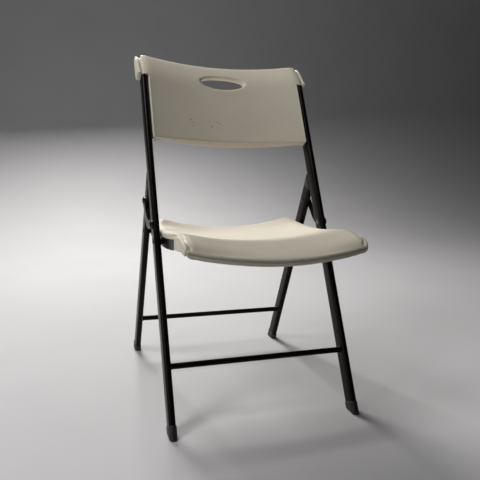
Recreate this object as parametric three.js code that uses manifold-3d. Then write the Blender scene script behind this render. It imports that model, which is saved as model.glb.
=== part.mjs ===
// Folding chair with a steel frame and moulded plastic seat and back.
// Millimetres. +Z up, -Y is the front of the chair, +X the sitter's left-hand
// side seen from the front. The floor is Z = 0.
//
// Layout (side view): the front tubes run from the front feet to the top of
// the back and lean backwards. The rear legs lean forwards in the same side
// planes and rest with their slanted top caps against the rear faces of the
// front tubes. The seat hangs on two flat side arms, pivoted on the front
// tubes (pivot P) and on the rear legs (pivot Q). A curved link plate outside
// each side joins the front tube (pivot B) to the rear leg (pivot A).
import * as THREE from 'three';
import { mergeVertices } from 'three/addons/utils/BufferGeometryUtils.js';
import Module from 'manifold-3d';

const wasm = await Module();
wasm.setup();

// ---------------------------------------------------------------- dimensions
const RAD = Math.PI / 180;
const ORIGIN_Y = 251.55;         // front foot centre line to the frame origin, along Y

const TUBE_X = 226.5;            // half spacing of the side tubes, centre to centre
const TUBE_W = 16.0;             // flat oval tube, across the chair
const TUBE_D = 39.0;             // flat oval tube, front to back
const TUBE_T = 1.3;              // wall
const CLEAR = 0.3;               // gap kept between separate pieces

const LEAN_FRONT = 27.98 * RAD;  // front tube leans back from the vertical
const FRONT_LEN = 912.5;         // front tube, foot plane to its end under the back's ear
const REAR_FOOT_Y = 536.4;       // rear foot centre behind the front foot centre
const LEAN_REAR = 22.30 * RAD;   // rear leg leans forward
const REAR_LEN = 569.0;          // rear leg steel, foot plane to its square top end

const BRACE_D = 14.0;            // round cross braces
const BRACE_FRONT_S = 152.0;     // along the front tube
const BRACE_REAR_S = 121.6;      // along the rear leg

// pivots, in the front tube's own frame: s up along the tube, n to its rear
const PIVOT_P = { s: 453.607, n: 0 };        // seat arm on the front tube
const PIVOT_B = { s: 498.034, n: 0 };        // link on the front tube
const PIVOT_A = { s: 587.872, n: 70.272 };   // link on the rear leg
const PIVOT_Q = { s: 528.221, n: 137.787 };  // seat arm on the rear leg
const PIN_R = 4.0;
const PIN_HOLE_R = 4.4;

const ARM_IN = 208.6;            // seat arm, inner and outer face
const ARM_OUT = 213.4;
const ARM_H = 24.0;

const LINK_IN = 237.1;           // link plate, inner and outer face
const LINK_OUT = 239.6;
const LINK_END_R = 11.5;

const BACK_LOW = 728.0;          // backrest, along the front tube
const BACK_HIGH = 990.0;
const BACK_T = 20.0;
const BACK_HALF = 218.0;         // panel, between the tubes
const BACK_EAR = 243.5;          // over the tube ends
const BACK_DISH = 33.0;

const SEAT_HALF = 215.0;
const SEAT_FRONT = -56.0;        // front edge at the middle
const SEAT_REAR = 376.0;
const SEAT_T = 20.0;
const STRAP_GAP = 2.2;           // under-seat strap below the moulding

const CAP_T = 1.5;               // foot cap wall

const tubeIn = TUBE_X - TUBE_W / 2;
const tubeOut = TUBE_X + TUBE_W / 2;

// ----------------------------------------------------------------- materials
const mat = (color, roughness, metalness) =>
  () => new THREE.MeshStandardMaterial({ color, roughness, metalness });
const PAINT = mat(0x211d19, 0.38, 0.35);
const PLASTIC = mat(0xc9c2b2, 0.55, 0.0);
const CAP = mat(0x141413, 0.55, 0.0);
const ZINC = mat(0xa9a8a2, 0.32, 0.9);
const RIVET = mat(0x2b2825, 0.35, 0.7);

// ------------------------------------------------------------------- helpers
const V2 = (x, y) => new THREE.Vector2(x, y);

function solid(geo) {
  const g = geo.clone();
  for (const k of Object.keys(g.attributes)) if (k !== 'position') g.deleteAttribute(k);
  const m = mergeVertices(g, 1e-4);
  return new wasm.Manifold(new wasm.Mesh({
    numProp: 3,
    vertProperties: new Float32Array(m.attributes.position.array),
    triVerts: new Uint32Array(m.index.array),
  }));
}

function geometry(man) {
  const m = man.getMesh();
  const pos = new Float32Array((m.vertProperties.length / m.numProp) * 3);
  for (let i = 0; i < pos.length / 3; i++) {
    for (let k = 0; k < 3; k++) pos[3 * i + k] = m.vertProperties[m.numProp * i + k];
  }
  const g = new THREE.BufferGeometry();
  g.setAttribute('position', new THREE.BufferAttribute(pos, 3));
  g.setIndex(new THREE.BufferAttribute(new Uint32Array(m.triVerts), 1));
  g.computeVertexNormals();
  return g;
}

function stadium(w, d, seg = 6) {           // w across x, d along y
  const r = w / 2, c = d / 2 - r, pts = [];
  for (let i = 0; i <= seg; i++) {
    const a = Math.PI * i / seg;
    pts.push(V2(r * Math.cos(a), c + r * Math.sin(a)));
  }
  for (let i = 0; i <= seg; i++) {
    const a = Math.PI + Math.PI * i / seg;
    pts.push(V2(r * Math.cos(a), -c + r * Math.sin(a)));
  }
  return pts;
}

function prism(pts, z0, z1, holes = []) {   // outline in x, y swept along z
  const shape = new THREE.Shape(pts);
  for (const h of holes) shape.holes.push(new THREE.Path(h));
  const g = new THREE.ExtrudeGeometry(shape, { depth: z1 - z0, bevelEnabled: false });
  g.translate(0, 0, z0);
  return g;
}

const ringPts = (r, y, z, n = 12) => [...Array(n)].map((_, i) =>
  V2(y + r * Math.cos(2 * Math.PI * i / n), z + r * Math.sin(2 * Math.PI * i / n)));

function prismX(ptsYZ, x0, x1, holes = []) { // outline in y, z swept along x
  const shape = new THREE.Shape(ptsYZ);
  for (const h of holes) shape.holes.push(new THREE.Path(h));
  const g = new THREE.ExtrudeGeometry(shape, { depth: x1 - x0, bevelEnabled: false });
  const m = new THREE.Matrix4().makeBasis(
    new THREE.Vector3(0, 1, 0), new THREE.Vector3(0, 0, 1), new THREE.Vector3(1, 0, 0));
  g.applyMatrix4(m);
  g.translate(x0, 0, 0);
  return g;
}

function cylX(r, x0, x1, y, z, seg = 12) {
  const g = new THREE.CylinderGeometry(r, r, Math.abs(x1 - x0), seg);
  g.rotateZ(Math.PI / 2);
  g.translate((x0 + x1) / 2, y, z);
  return g;
}

// turned piece about an axis parallel to X; profile is [x, r] pairs from axis to axis
function turnX(profile, y, z, seg = 12) {
  const g = new THREE.LatheGeometry(profile.map(([x, r]) => V2(r, x)), seg);
  g.rotateZ(-Math.PI / 2);                  // lathe axis Y becomes X
  g.translate(0, y, z);
  return g;
}

// closed sheet of cells between an upper and a lower surface point function
function slab(nu, nv, upper, lower) {
  const pos = [], idx = [];
  const id = (i, j, k) => k * (nu + 1) * (nv + 1) + j * (nu + 1) + i;
  for (const f of [upper, lower]) {
    for (let j = 0; j <= nv; j++) for (let i = 0; i <= nu; i++) pos.push(...f(i, j));
  }
  const quad = (a, b, c, d) => idx.push(a, b, c, a, c, d);
  for (let j = 0; j < nv; j++) for (let i = 0; i < nu; i++) {
    quad(id(i, j, 0), id(i + 1, j, 0), id(i + 1, j + 1, 0), id(i, j + 1, 0));
    quad(id(i, j, 1), id(i, j + 1, 1), id(i + 1, j + 1, 1), id(i + 1, j, 1));
  }
  for (let i = 0; i < nu; i++) {
    quad(id(i, 0, 1), id(i + 1, 0, 1), id(i + 1, 0, 0), id(i, 0, 0));
    quad(id(i, nv, 0), id(i + 1, nv, 0), id(i + 1, nv, 1), id(i, nv, 1));
  }
  for (let j = 0; j < nv; j++) {
    quad(id(0, j, 0), id(0, j + 1, 0), id(0, j + 1, 1), id(0, j, 1));
    quad(id(nu, j, 1), id(nu, j + 1, 1), id(nu, j + 1, 0), id(nu, j, 0));
  }
  const g = new THREE.BufferGeometry();
  g.setAttribute('position', new THREE.BufferAttribute(new Float32Array(pos), 3));
  g.setIndex(idx);
  return g;
}

function lerpTable(table, t) {              // table of [t, value], smooth enough for a mould
  if (t <= table[0][0]) return table[0][1];
  for (let i = 1; i < table.length; i++) {
    if (t <= table[i][0]) {
      const [t0, v0] = table[i - 1], [t1, v1] = table[i];
      const k = (t - t0) / (t1 - t0);
      const m0 = i > 1 ? (v1 - table[i - 2][1]) / (t1 - table[i - 2][0]) : (v1 - v0) / (t1 - t0);
      const m1 = i < table.length - 1 ? (table[i + 1][1] - v0) / (table[i + 1][0] - t0) : (v1 - v0) / (t1 - t0);
      const h = t1 - t0, k2 = k * k, k3 = k2 * k;
      return (2 * k3 - 3 * k2 + 1) * v0 + (k3 - 2 * k2 + k) * h * m0 + (-2 * k3 + 3 * k2) * v1 + (k3 - k2) * h * m1;
    }
  }
  return table[table.length - 1][1];
}

const root = new THREE.Group();
root.position.y = -ORIGIN_Y;
const front = new THREE.Group();            // local z up along the tube, local y to its rear
front.rotation.x = -LEAN_FRONT;
const rear = new THREE.Group();             // local z up along the leg, local y to its rear
rear.position.y = REAR_FOOT_Y;
rear.rotation.x = LEAN_REAR;
const level = new THREE.Group();            // seat, in the level frame
root.add(front, rear, level);

function add(group, name, geo, material) {
  const g = geo instanceof THREE.BufferGeometry ? geo : geometry(geo);
  const mesh = new THREE.Mesh(g, material());
  mesh.name = name;
  group.add(mesh);
  return mesh;
}

// frame changes between the level side view (y, z) and the two turned frames
const toLevel = ({ s, n }) => ({
  y: s * Math.sin(LEAN_FRONT) + n * Math.cos(LEAN_FRONT),
  z: s * Math.cos(LEAN_FRONT) - n * Math.sin(LEAN_FRONT),
});
const toRear = ({ s, n }) => {
  const p = toLevel({ s, n }), y = p.y - REAR_FOOT_Y;
  return {
    s: -y * Math.sin(LEAN_REAR) + p.z * Math.cos(LEAN_REAR),
    n: y * Math.cos(LEAN_REAR) + p.z * Math.sin(LEAN_REAR),
  };
};
const P = toLevel(PIVOT_P), Q = toLevel(PIVOT_Q);
const A_R = toRear(PIVOT_A), Q_R = toRear(PIVOT_Q);

const SIDES = [['left', -1], ['right', 1]];
const span = (sg, a, b) => (sg > 0 ? [a, b] : [-b, -a]);

// ---------------------------------------------------------------- front tubes
const SCREW_LOW_S = 765, SCREW_HIGH_S = 898;
for (const [side, sg] of SIDES) {
  const x = sg * TUBE_X;
  let tube = solid(prism(stadium(TUBE_W, TUBE_D), 13, FRONT_LEN,
    [stadium(TUBE_W - 2 * TUBE_T, TUBE_D - 2 * TUBE_T)]).translate(x, 0, 0));
  for (const p of [PIVOT_P, PIVOT_B]) {
    tube = tube.subtract(solid(cylX(PIN_HOLE_R, x - 12, x + 12, p.n, p.s)));
  }
  for (const s of [SCREW_LOW_S, SCREW_HIGH_S]) {
    const c = new THREE.CylinderGeometry(2.6, 2.6, 16, 12);
    c.translate(x, TUBE_D / 2, s);
    tube = tube.subtract(solid(c));
  }
  add(front, `front_leg_${side}`, tube, PAINT);
}
const braceTube = (s) => prismX(ringPts(BRACE_D / 2, 0, s), -(tubeIn - CLEAR), tubeIn - CLEAR,
  [ringPts(BRACE_D / 2 - TUBE_T, 0, s)]);
add(front, 'front_cross_brace', braceTube(BRACE_FRONT_S), PAINT);

// ----------------------------------------------------------------- rear legs
for (const [side, sg] of SIDES) {
  const x = sg * TUBE_X;
  let tube = solid(prism(stadium(TUBE_W, TUBE_D), 13, REAR_LEN,
    [stadium(TUBE_W - 2 * TUBE_T, TUBE_D - 2 * TUBE_T)]).translate(x, 0, 0));
  tube = tube.subtract(solid(cylX(PIN_HOLE_R, x - 12, x + 12, Q_R.n, Q_R.s)));
  tube = tube.subtract(solid(cylX(PIN_HOLE_R, x - 12, x + 12, A_R.n, A_R.s)));
  add(rear, `rear_leg_${side}`, tube, PAINT);
}
add(rear, 'rear_cross_brace', braceTube(BRACE_REAR_S), PAINT);

// --------------------------------------------------------- caps on the tubes
function footCap(x, lean) {
  // outer cup, its socket for the tube, and the level cut at the floor
  let cap = solid(prism(stadium(TUBE_W + 2 * CAP_T, TUBE_D + 2 * CAP_T), -16, 24).translate(x, 0, 0));
  cap = cap.subtract(solid(prism(stadium(TUBE_W + 2 * CLEAR, TUBE_D + 2 * CLEAR), 13 - CLEAR, 40).translate(x, 0, 0)));
  const plug = solid(prism(stadium(TUBE_W - 2 * TUBE_T - 2 * CLEAR, TUBE_D - 2 * TUBE_T - 2 * CLEAR), 5, 30).translate(x, 0, 0));
  cap = cap.add(plug);
  const below = new THREE.BoxGeometry(80, 200, 100);
  below.translate(0, 0, -50);
  below.rotateX(-lean);                     // floor plane seen in the leaning frame
  below.translate(x, 0, 0);
  return cap.subtract(solid(below));
}
for (const [side, sg] of SIDES) {
  add(front, `front_foot_cap_${side}`, footCap(sg * TUBE_X, -LEAN_FRONT), CAP);
  add(rear, `rear_foot_cap_${side}`, footCap(sg * TUBE_X, LEAN_REAR), CAP);
}
// slanted top caps of the rear legs, which rest against the front tubes
for (const [side, sg] of SIDES) {
  const x = sg * TUBE_X;
  let cap = solid(prism(stadium(TUBE_W, TUBE_D), REAR_LEN + CLEAR, 625).translate(x, 0, 0));
  cap = cap.add(solid(prism(stadium(TUBE_W - 2 * TUBE_T - 2 * CLEAR, TUBE_D - 2 * TUBE_T - 2 * CLEAR), REAR_LEN - 24, REAR_LEN + 3).translate(x, 0, 0)));
  // half space in front of the front tube's rear face, brought into this frame
  const cut = new THREE.BoxGeometry(60, 200, 600);
  cut.translate(0, TUBE_D / 2 + CLEAR - 100, 600);
  cut.rotateX(-LEAN_FRONT);
  cut.translate(0, -REAR_FOOT_Y, 0);
  cut.rotateX(-LEAN_REAR);
  cut.translate(x, 0, 0);
  add(rear, `rear_leg_top_cap_${side}`, cap.subtract(solid(cut)), CAP);
}

// ------------------------------------------------------------------ backrest
// front surface of the panel: dished across, rolled back towards its top edge
const BACK_EDGE = [[700, -22], [880, -22], [912, -21], [932, -17.5], [952, -10.5], [972, -2], [990, 7]];
function backFront(x, s) {
  const e = lerpTable(BACK_EDGE, s);
  const ax = Math.abs(x);
  if (s < 913 && ax > 214.5) return e + (ax - 214.5) / (BACK_HALF - 214.5) * 16;
  const q = Math.min(ax / 214.5, 1);
  return e + BACK_DISH * (1 - q * q);
}
{
  const us = [-1, -0.9803, -0.93, -0.82, -0.66, -0.47, -0.28, -0.09, 0.09, 0.28, 0.47, 0.66, 0.82, 0.93, 0.9803, 1];
  const ss = [BACK_LOW, 760, 800, 840, 875, 900, 914, 937, 958, 975, BACK_HIGH];
  const point = (off) => (i, j) => {
    const x = us[i] * BACK_HALF, s = ss[j];
    const roll = (j === 0 || j === ss.length - 1) ? (off ? -2.5 : 2.5) : 0;
    return [x, backFront(x, s) + off + roll, s];
  };
  // the slab's upper surface is the rear of the panel
  let back = solid(slab(us.length - 1, ss.length - 1,
    (i, j) => point(BACK_T)(us.length - 1 - i, j), (i, j) => point(0)(us.length - 1 - i, j)));
  for (const sg of [-1, 1]) {
    const ear = [[913.4, -23.5], [925, -19.5], [940, -13], [956, -7], [968, -1], [980, 6], [988, 12], [989, 22], [985, 28], [975, 30.5], [950, 30], [930, 27.5], [918, 23], [913.4, 16]];
    const [x0, x1] = span(sg, 214.5, BACK_EAR);
    back = back.add(solid(prismX(ear.map(([s, n]) => V2(n, s)), x0, x1)));
    // tabs behind the tube, near the lower edge and under the ear
    const lug = [[204, -8], [215.5, -8], [215.5, 20.5], [232.5, 20.5], [232.5, 27], [204, 27]].map(([x, n]) => V2(sg * x, n));
    if (sg < 0) lug.reverse();
    back = back.add(solid(prism(lug, 745, 785))).add(solid(prism(lug, 882, 922)));
  }
  const outline = [];
  const corner = [[BACK_EAR, 880], [BACK_EAR, 948], [241.5, 962], [237, 973], [230, 982], [221, 988], [212, 992]];
  outline.push(V2(-BACK_EAR, 700), V2(BACK_EAR, 700), ...corner.map(([x, s]) => V2(x, s)));
  outline.push(...corner.slice().reverse().map(([x, s]) => V2(-x, s)));
  const face = prism(outline, -120, 120);
  face.applyMatrix4(new THREE.Matrix4().makeBasis(
    new THREE.Vector3(1, 0, 0), new THREE.Vector3(0, 0, 1), new THREE.Vector3(0, -1, 0)));
  back = back.intersect(solid(face));
  for (const sg of [-1, 1]) {
    back = back.subtract(solid(prism(stadium(TUBE_W + 2 * CLEAR, TUBE_D + 2 * CLEAR), 650, FRONT_LEN + 0.6).translate(sg * TUBE_X, 0, 0)));
    for (const [s, n] of [[SCREW_LOW_S, 24], [SCREW_HIGH_S, 25]]) {
      const c = new THREE.CylinderGeometry(2.6, 2.6, 22, 12);
      c.translate(sg * TUBE_X, n, s);
      back = back.subtract(solid(c));
    }
  }
  // hand hole
  const hole = [];
  for (let i = 0; i < 20; i++) {
    const a = i * Math.PI / 10;
    hole.push(V2(69 * Math.cos(a), 924 + 26.5 * Math.sin(a) * (1 - 0.05 * Math.cos(a))));
  }
  const through = prism(hole, -120, 120);
  through.applyMatrix4(new THREE.Matrix4().makeBasis(
    new THREE.Vector3(1, 0, 0), new THREE.Vector3(0, 0, 1), new THREE.Vector3(0, -1, 0)));
  back = back.subtract(solid(through));
  add(front, 'backrest', back, PLASTIC);
}
for (const [side, sg] of SIDES) {
  for (const [where, s, seat] of [['lower', SCREW_LOW_S, 27], ['upper', SCREW_HIGH_S, 27]]) {
    const prof = [[seat - 22, 0], [seat - 20, 2.1], [seat + CLEAR, 2.1], [seat + CLEAR, 4.6], [seat + 1.6, 4.2], [seat + 2.5, 2.4], [seat + 2.6, 0]];
    const g = new THREE.LatheGeometry(prof.map(([y, r]) => V2(r, y)), 12);
    g.translate(sg * TUBE_X, 0, s);
    add(front, `back_screw_${where}_${side}`, g, RIVET);
  }
}

// ---------------------------------------------------------------------- seat
const SEAT_MID = [[-56, 404], [-45, 409.5], [-20, 418], [10, 423.5], [40, 425.5], [70, 423], [110, 417], [170, 409.5], [230, 405], [290, 404], [340, 406], [376, 409]];
const SEAT_SIDE = [[-56, 417], [-37, 425], [-23, 434], [0, 443], [30, 447.5], [60, 446], [119, 438.5], [183, 433.5], [223, 431.5], [290, 429.5], [340, 431.5], [376, 434]];
const ARM_TOP = [[30, 437.5], [62, 431.5], [100, 424.5], [140, 419], [175, 415.3], [213, 412.9], [260, 412.6], [400, 412.6]];
const ARM_BOTTOM = [[30, 413.5], [62, 407.8], [100, 400.6], [140, 395], [175, 391.2], [213, 388.8], [260, 388.6], [400, 388.6]];
function seatTop(x, y, half) {
  const q = Math.min(Math.abs(x) / half, 1);
  const mid = lerpTable(SEAT_MID, y), side = lerpTable(SEAT_SIDE, y);
  const crown = Math.pow(Math.min(q / 0.9, 1), 2.1);
  const roll = q > 0.9 ? 5 * Math.pow((q - 0.9) / 0.1, 2) : 0;
  return mid + (side - mid) * crown - roll;
}
{
  const us = [0, 0.16, 0.33, 0.5, 0.66, 0.8, 0.9, 0.9635, 0.9665, 1];
  const cols = [...us.slice(1).reverse().map((u) => -u), ...us];
  const rows = [0, 0.025, 0.08, 0.14, 0.2, 0.265, 0.34, 0.44, 0.56, 0.68, 0.79, 0.88, 0.94, 0.98, 1];
  const halfAt = (y) => lerpTable([[-56, 203], [-44, 210], [-30, 214], [-15, SEAT_HALF], [300, SEAT_HALF], [330, 212.5], [352, 207], [366, 200], [376, 190]], y);
  const place = (i, j) => {
    const u = cols[i], v = rows[j];
    const yf = SEAT_FRONT + 21 * u * u * (205 / 210) * (205 / 210);
    const yr = SEAT_REAR - (Math.abs(u) > 0.93 ? 2 : 0);
    const y = yf + (yr - yf) * v;
    return [u * halfAt(y), y, halfAt(y)];
  };
  const top = (i, j) => {
    const [x, y, h] = place(i, j);
    return [x, y, seatTop(x, y, h)];
  };
  const bottom = (i, j) => {
    const [x, y, h] = place(i, j), u = Math.abs(cols[i]);
    let z = seatTop(x, y, h) - lerpTable([[-56, 15], [-30, 17], [10, SEAT_T], [376, SEAT_T]], y);
    if (u > 0.965) {
      const armTop = lerpTable(ARM_TOP, y);
      z = y > 61 ? armTop + 0.5 : Math.min(z, lerpTable([[-60, 409], [-29, 411.6], [0, 411], [20, 410], [61, 407.6]], y));
    }
    return [x, y, z];
  };
  let seat = solid(slab(cols.length - 1, rows.length - 1, top, bottom));
  // clear the arms and their ends in the side plugs
  for (const sg of [-1, 1]) {
    const outline = [[62, 1], [100, 1], [140, 1], [175, 1], [213, 1], [260, 1], [395, 1]];
    const pts = outline.map(([y]) => V2(y, lerpTable(ARM_BOTTOM, y) - 40));
    pts.push(...outline.slice().reverse().map(([y]) => V2(y, lerpTable(ARM_TOP, y) + CLEAR)));
    const [x0, x1] = span(sg, ARM_IN - 0.5, 260);
    seat = seat.subtract(solid(prismX(pts, x0, x1)));
  }
  // screw holes from below
  for (const y of [120, 290]) for (const x of [-150, 150]) {
    const z = seatTop(x, y, SEAT_HALF) - SEAT_T;
    const c = new THREE.CylinderGeometry(2.4, 2.4, 26, 10);
    c.rotateX(Math.PI / 2);
    c.translate(x, y, z);
    seat = seat.subtract(solid(c));
  }
  add(level, 'seat', seat, PLASTIC);
}
for (const [side, sg] of SIDES) {
  const ys = [62.6, 100, 140, 175, 213, 260, Q.y];
  const pts = ys.map((y) => V2(y, lerpTable(ARM_BOTTOM, y)));
  for (let i = 1; i < 8; i++) {
    const a = -Math.PI / 2 + Math.PI * i / 8;
    pts.push(V2(Q.y + ARM_H / 2 * Math.cos(a), Q.z + ARM_H / 2 * Math.sin(a)));
  }
  pts.push(...ys.slice().reverse().map((y) => V2(y, lerpTable(ARM_TOP, y))));
  const [x0, x1] = span(sg, ARM_IN, ARM_OUT);
  let arm = solid(prismX(pts, x0, x1));
  for (const p of [P, Q]) arm = arm.subtract(solid(cylX(PIN_HOLE_R, x0 - 2, x1 + 2, p.y, p.z)));
  add(level, `seat_arm_${side}`, arm, PAINT);
}
// curved cross straps under the seat, fixed between the arms
for (const [name, y0] of [['front', 120], ['rear', 290]]) {
  const under = (x, drop) => Math.min(...[-13, 0, 13].map((d) => seatTop(x, y0 + d, SEAT_HALF))) - SEAT_T - drop;
  const xs = [];
  for (let i = 0; i <= 16; i++) xs.push(-(ARM_IN - CLEAR) + i / 16 * 2 * (ARM_IN - CLEAR));
  const pts = xs.map((x) => V2(x, under(Math.abs(x) > 200 ? 200 * Math.sign(x) : x, STRAP_GAP + 3)));
  pts.push(...xs.slice().reverse().map((x) => V2(x, under(Math.abs(x) > 200 ? 200 * Math.sign(x) : x, STRAP_GAP))));
  const g = prism(pts, 0, 25);
  g.rotateX(Math.PI / 2);                   // sweep now along -Y
  g.translate(0, y0 + 12.5, 0);
  let strap = solid(g);
  for (const x of [-150, 150]) {
    const c = new THREE.CylinderGeometry(2.6, 2.6, 30, 10);
    c.rotateX(Math.PI / 2);
    c.translate(x, y0, under(x, 2));
    strap = strap.subtract(solid(c));
  }
  add(level, `seat_strap_${name}`, strap, PAINT);
  for (const x of [-150, 150]) {
    const z = under(x, STRAP_GAP + 3) - 1.6;
    const g2 = new THREE.LatheGeometry([[z - 2.6, 0], [z - 2.4, 3.4], [z - 0.6, 4.6], [z, 4.6], [z, 2.0], [z + 13, 2.0], [z + 14.5, 0]].map(([h, r]) => V2(r, h)), 12);
    g2.rotateX(Math.PI / 2);
    g2.translate(x, y0, 0);
    add(level, `seat_screw_${name}_${x < 0 ? 'left' : 'right'}`, g2, RIVET);
  }
}

// --------------------------------------------------------------- link plates
// rest frame of the link: a runs from B towards A, b to the rear and down
{
  const du = PIVOT_A.s - PIVOT_B.s, dn = PIVOT_A.n - PIVOT_B.n, L = Math.hypot(du, dn);
  const us = du / L, un = dn / L;
  const at = (a, b) => V2(PIVOT_B.n + a * un + b * us, PIVOT_B.s + a * us - b * un);
  const mid = [[0, 0], [18, 13], [37, 20], [60, 18], [86, 9], [L, 0]];
  for (const [side, sg] of SIDES) {
    const lo = [], hi = [];
    const half = [LINK_END_R, 10.8, 10.4, 10.2, 10.6, LINK_END_R];
    for (let i = 1; i < mid.length - 1; i++) {
      const [a0, b0] = mid[i - 1], [a1, b1] = mid[i + 1];
      const t = Math.hypot(a1 - a0, b1 - b0), ta = (a1 - a0) / t, tb = (b1 - b0) / t;
      lo.push([mid[i][0] + tb * half[i], mid[i][1] - ta * half[i]]);
      hi.push([mid[i][0] - tb * half[i], mid[i][1] + ta * half[i]]);
    }
    const ring = [];
    for (let i = 0; i <= 8; i++) {          // round the A end
      const t = -100 * RAD + (200 * RAD) * i / 8 - 0.18;
      ring.push([L + LINK_END_R * Math.cos(t), LINK_END_R * Math.sin(t)]);
    }
    const ringB = [];
    for (let i = 0; i <= 8; i++) {          // round the B end
      const t = 124 * RAD + (186 * RAD) * i / 8;
      ringB.push([LINK_END_R * Math.cos(t), LINK_END_R * Math.sin(t)]);
    }
    const pts = [...lo, ...ring, ...hi.reverse(), ...ringB].map(([a, b]) => at(a, b));
    const [x0, x1] = span(sg, LINK_IN, LINK_OUT);
    const shape = pts.slice();
    if (THREE.ShapeUtils.area(shape) < 0) shape.reverse();
    let link = solid(prismX(shape, x0, x1));
    for (const p of [PIVOT_A, PIVOT_B]) link = link.subtract(solid(cylX(PIN_HOLE_R, x0 - 2, x1 + 2, p.n, p.s)));
    add(front, `link_plate_${side}`, link, PAINT);
  }
}

// ------------------------------------------------------- pivots and hardware
function pin(sg, inHead, inFace, outFace, outHead, y, z) {
  // head outside inFace, shank, head outside outFace; x from inside to outside
  const prof = [
    [inHead - 0.0, 0], [inHead, 4.4], [inHead + 0.6, 6.0], [inFace, 6.4], [inFace, PIN_R],
    [outFace, PIN_R], [outFace, 6.8], [outHead - 0.6, 6.4], [outHead, 4.6], [outHead, 0]];
  const list = sg > 0 ? prof : prof.map(([x, r]) => [-x, r]).reverse();
  return turnX(list, y, z);
}
function ringX(sg, x0, x1, rIn, rOut, y, z) {
  const [a, b] = span(sg, x0, x1);
  const g = new THREE.LatheGeometry([V2(rIn, a), V2(rOut, a), V2(rOut, b), V2(rIn, b), V2(rIn, a)], 12);
  g.rotateZ(-Math.PI / 2);
  g.translate(0, y, z);
  return g;
}
for (const [side, sg] of SIDES) {
  // P: seat arm, bush, front tube
  add(front, `seat_pivot_pin_${side}`, pin(sg, ARM_IN - 2.3, ARM_IN - CLEAR, tubeOut + CLEAR, tubeOut + 2.2, PIVOT_P.n, PIVOT_P.s), RIVET);
  add(front, `seat_pivot_bush_${side}`, ringX(sg, ARM_OUT + CLEAR, tubeIn - CLEAR, PIN_HOLE_R, 8.0, PIVOT_P.n, PIVOT_P.s), CAP);
  // B: front tube, washers, link plate
  add(front, `link_lower_pin_${side}`, pin(sg, tubeIn - 2.0, tubeIn - CLEAR, LINK_OUT + CLEAR, LINK_OUT + 2.4, PIVOT_B.n, PIVOT_B.s), ZINC);
  add(front, `link_lower_washer_${side}`, ringX(sg, tubeOut + CLEAR, LINK_IN - CLEAR, PIN_HOLE_R, 9.0, PIVOT_B.n, PIVOT_B.s), ZINC);
  // Q: seat arm, bush, rear leg
  add(rear, `rear_pivot_pin_${side}`, pin(sg, ARM_IN - 2.3, ARM_IN - CLEAR, tubeOut + CLEAR, tubeOut + 2.2, Q_R.n, Q_R.s), RIVET);
  add(rear, `rear_pivot_bush_${side}`, ringX(sg, ARM_OUT + CLEAR, tubeIn - CLEAR, PIN_HOLE_R, 8.0, Q_R.n, Q_R.s), CAP);
  // A: the rivet is in two halves, the outer one on the link and the inner one on the leg
  const outer = [[tubeOut + 0.5, 0], [tubeOut + 0.5, PIN_R], [LINK_OUT + CLEAR, PIN_R], [LINK_OUT + CLEAR, 6.8], [LINK_OUT + 1.8, 6.4], [LINK_OUT + 2.4, 4.6], [LINK_OUT + 2.4, 0]];
  add(front, `link_upper_rivet_${side}`, turnX(sg > 0 ? outer : outer.map(([x, r]) => [-x, r]).reverse(), PIVOT_A.n, PIVOT_A.s), RIVET);
  add(front, `link_upper_washer_${side}`, ringX(sg, tubeOut + 0.5, LINK_IN - CLEAR, PIN_HOLE_R, 9.0, PIVOT_A.n, PIVOT_A.s), ZINC);
  const inner = [[tubeIn - 2.0, 0], [tubeIn - 2.0, 4.4], [tubeIn - 1.4, 6.0], [tubeIn - CLEAR, 6.4], [tubeIn - CLEAR, PIN_R], [tubeOut - 0.1, PIN_R], [tubeOut - 0.1, 0]];
  add(rear, `leg_upper_rivet_${side}`, turnX(sg > 0 ? inner : inner.map(([x, r]) => [-x, r]).reverse(), A_R.n, A_R.s), RIVET);
}

export default root;
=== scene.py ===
import math
import bpy
import bmesh
import numpy as np
from mathutils import Vector, Matrix

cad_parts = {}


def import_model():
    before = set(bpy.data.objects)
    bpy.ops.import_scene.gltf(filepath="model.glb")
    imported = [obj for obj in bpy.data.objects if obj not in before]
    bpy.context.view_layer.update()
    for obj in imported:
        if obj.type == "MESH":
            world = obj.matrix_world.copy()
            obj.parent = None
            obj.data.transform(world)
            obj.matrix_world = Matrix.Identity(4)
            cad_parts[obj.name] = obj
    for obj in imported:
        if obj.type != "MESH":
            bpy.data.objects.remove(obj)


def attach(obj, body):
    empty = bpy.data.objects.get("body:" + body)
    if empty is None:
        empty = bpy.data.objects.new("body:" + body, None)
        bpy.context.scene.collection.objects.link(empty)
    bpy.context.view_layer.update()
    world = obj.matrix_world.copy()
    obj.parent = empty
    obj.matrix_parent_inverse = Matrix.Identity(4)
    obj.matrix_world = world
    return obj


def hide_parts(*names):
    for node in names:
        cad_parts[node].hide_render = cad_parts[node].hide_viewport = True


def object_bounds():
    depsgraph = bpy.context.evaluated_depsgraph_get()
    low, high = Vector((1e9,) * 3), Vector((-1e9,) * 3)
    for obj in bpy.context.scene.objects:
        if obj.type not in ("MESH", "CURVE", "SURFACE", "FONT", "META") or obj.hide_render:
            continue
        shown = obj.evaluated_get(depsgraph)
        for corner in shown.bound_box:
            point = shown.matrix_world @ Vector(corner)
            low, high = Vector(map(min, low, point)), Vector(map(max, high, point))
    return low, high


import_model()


def plain(b):
    return [[float(c) for c in v] for v in b]


CAD_BOX = plain(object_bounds())

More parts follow.
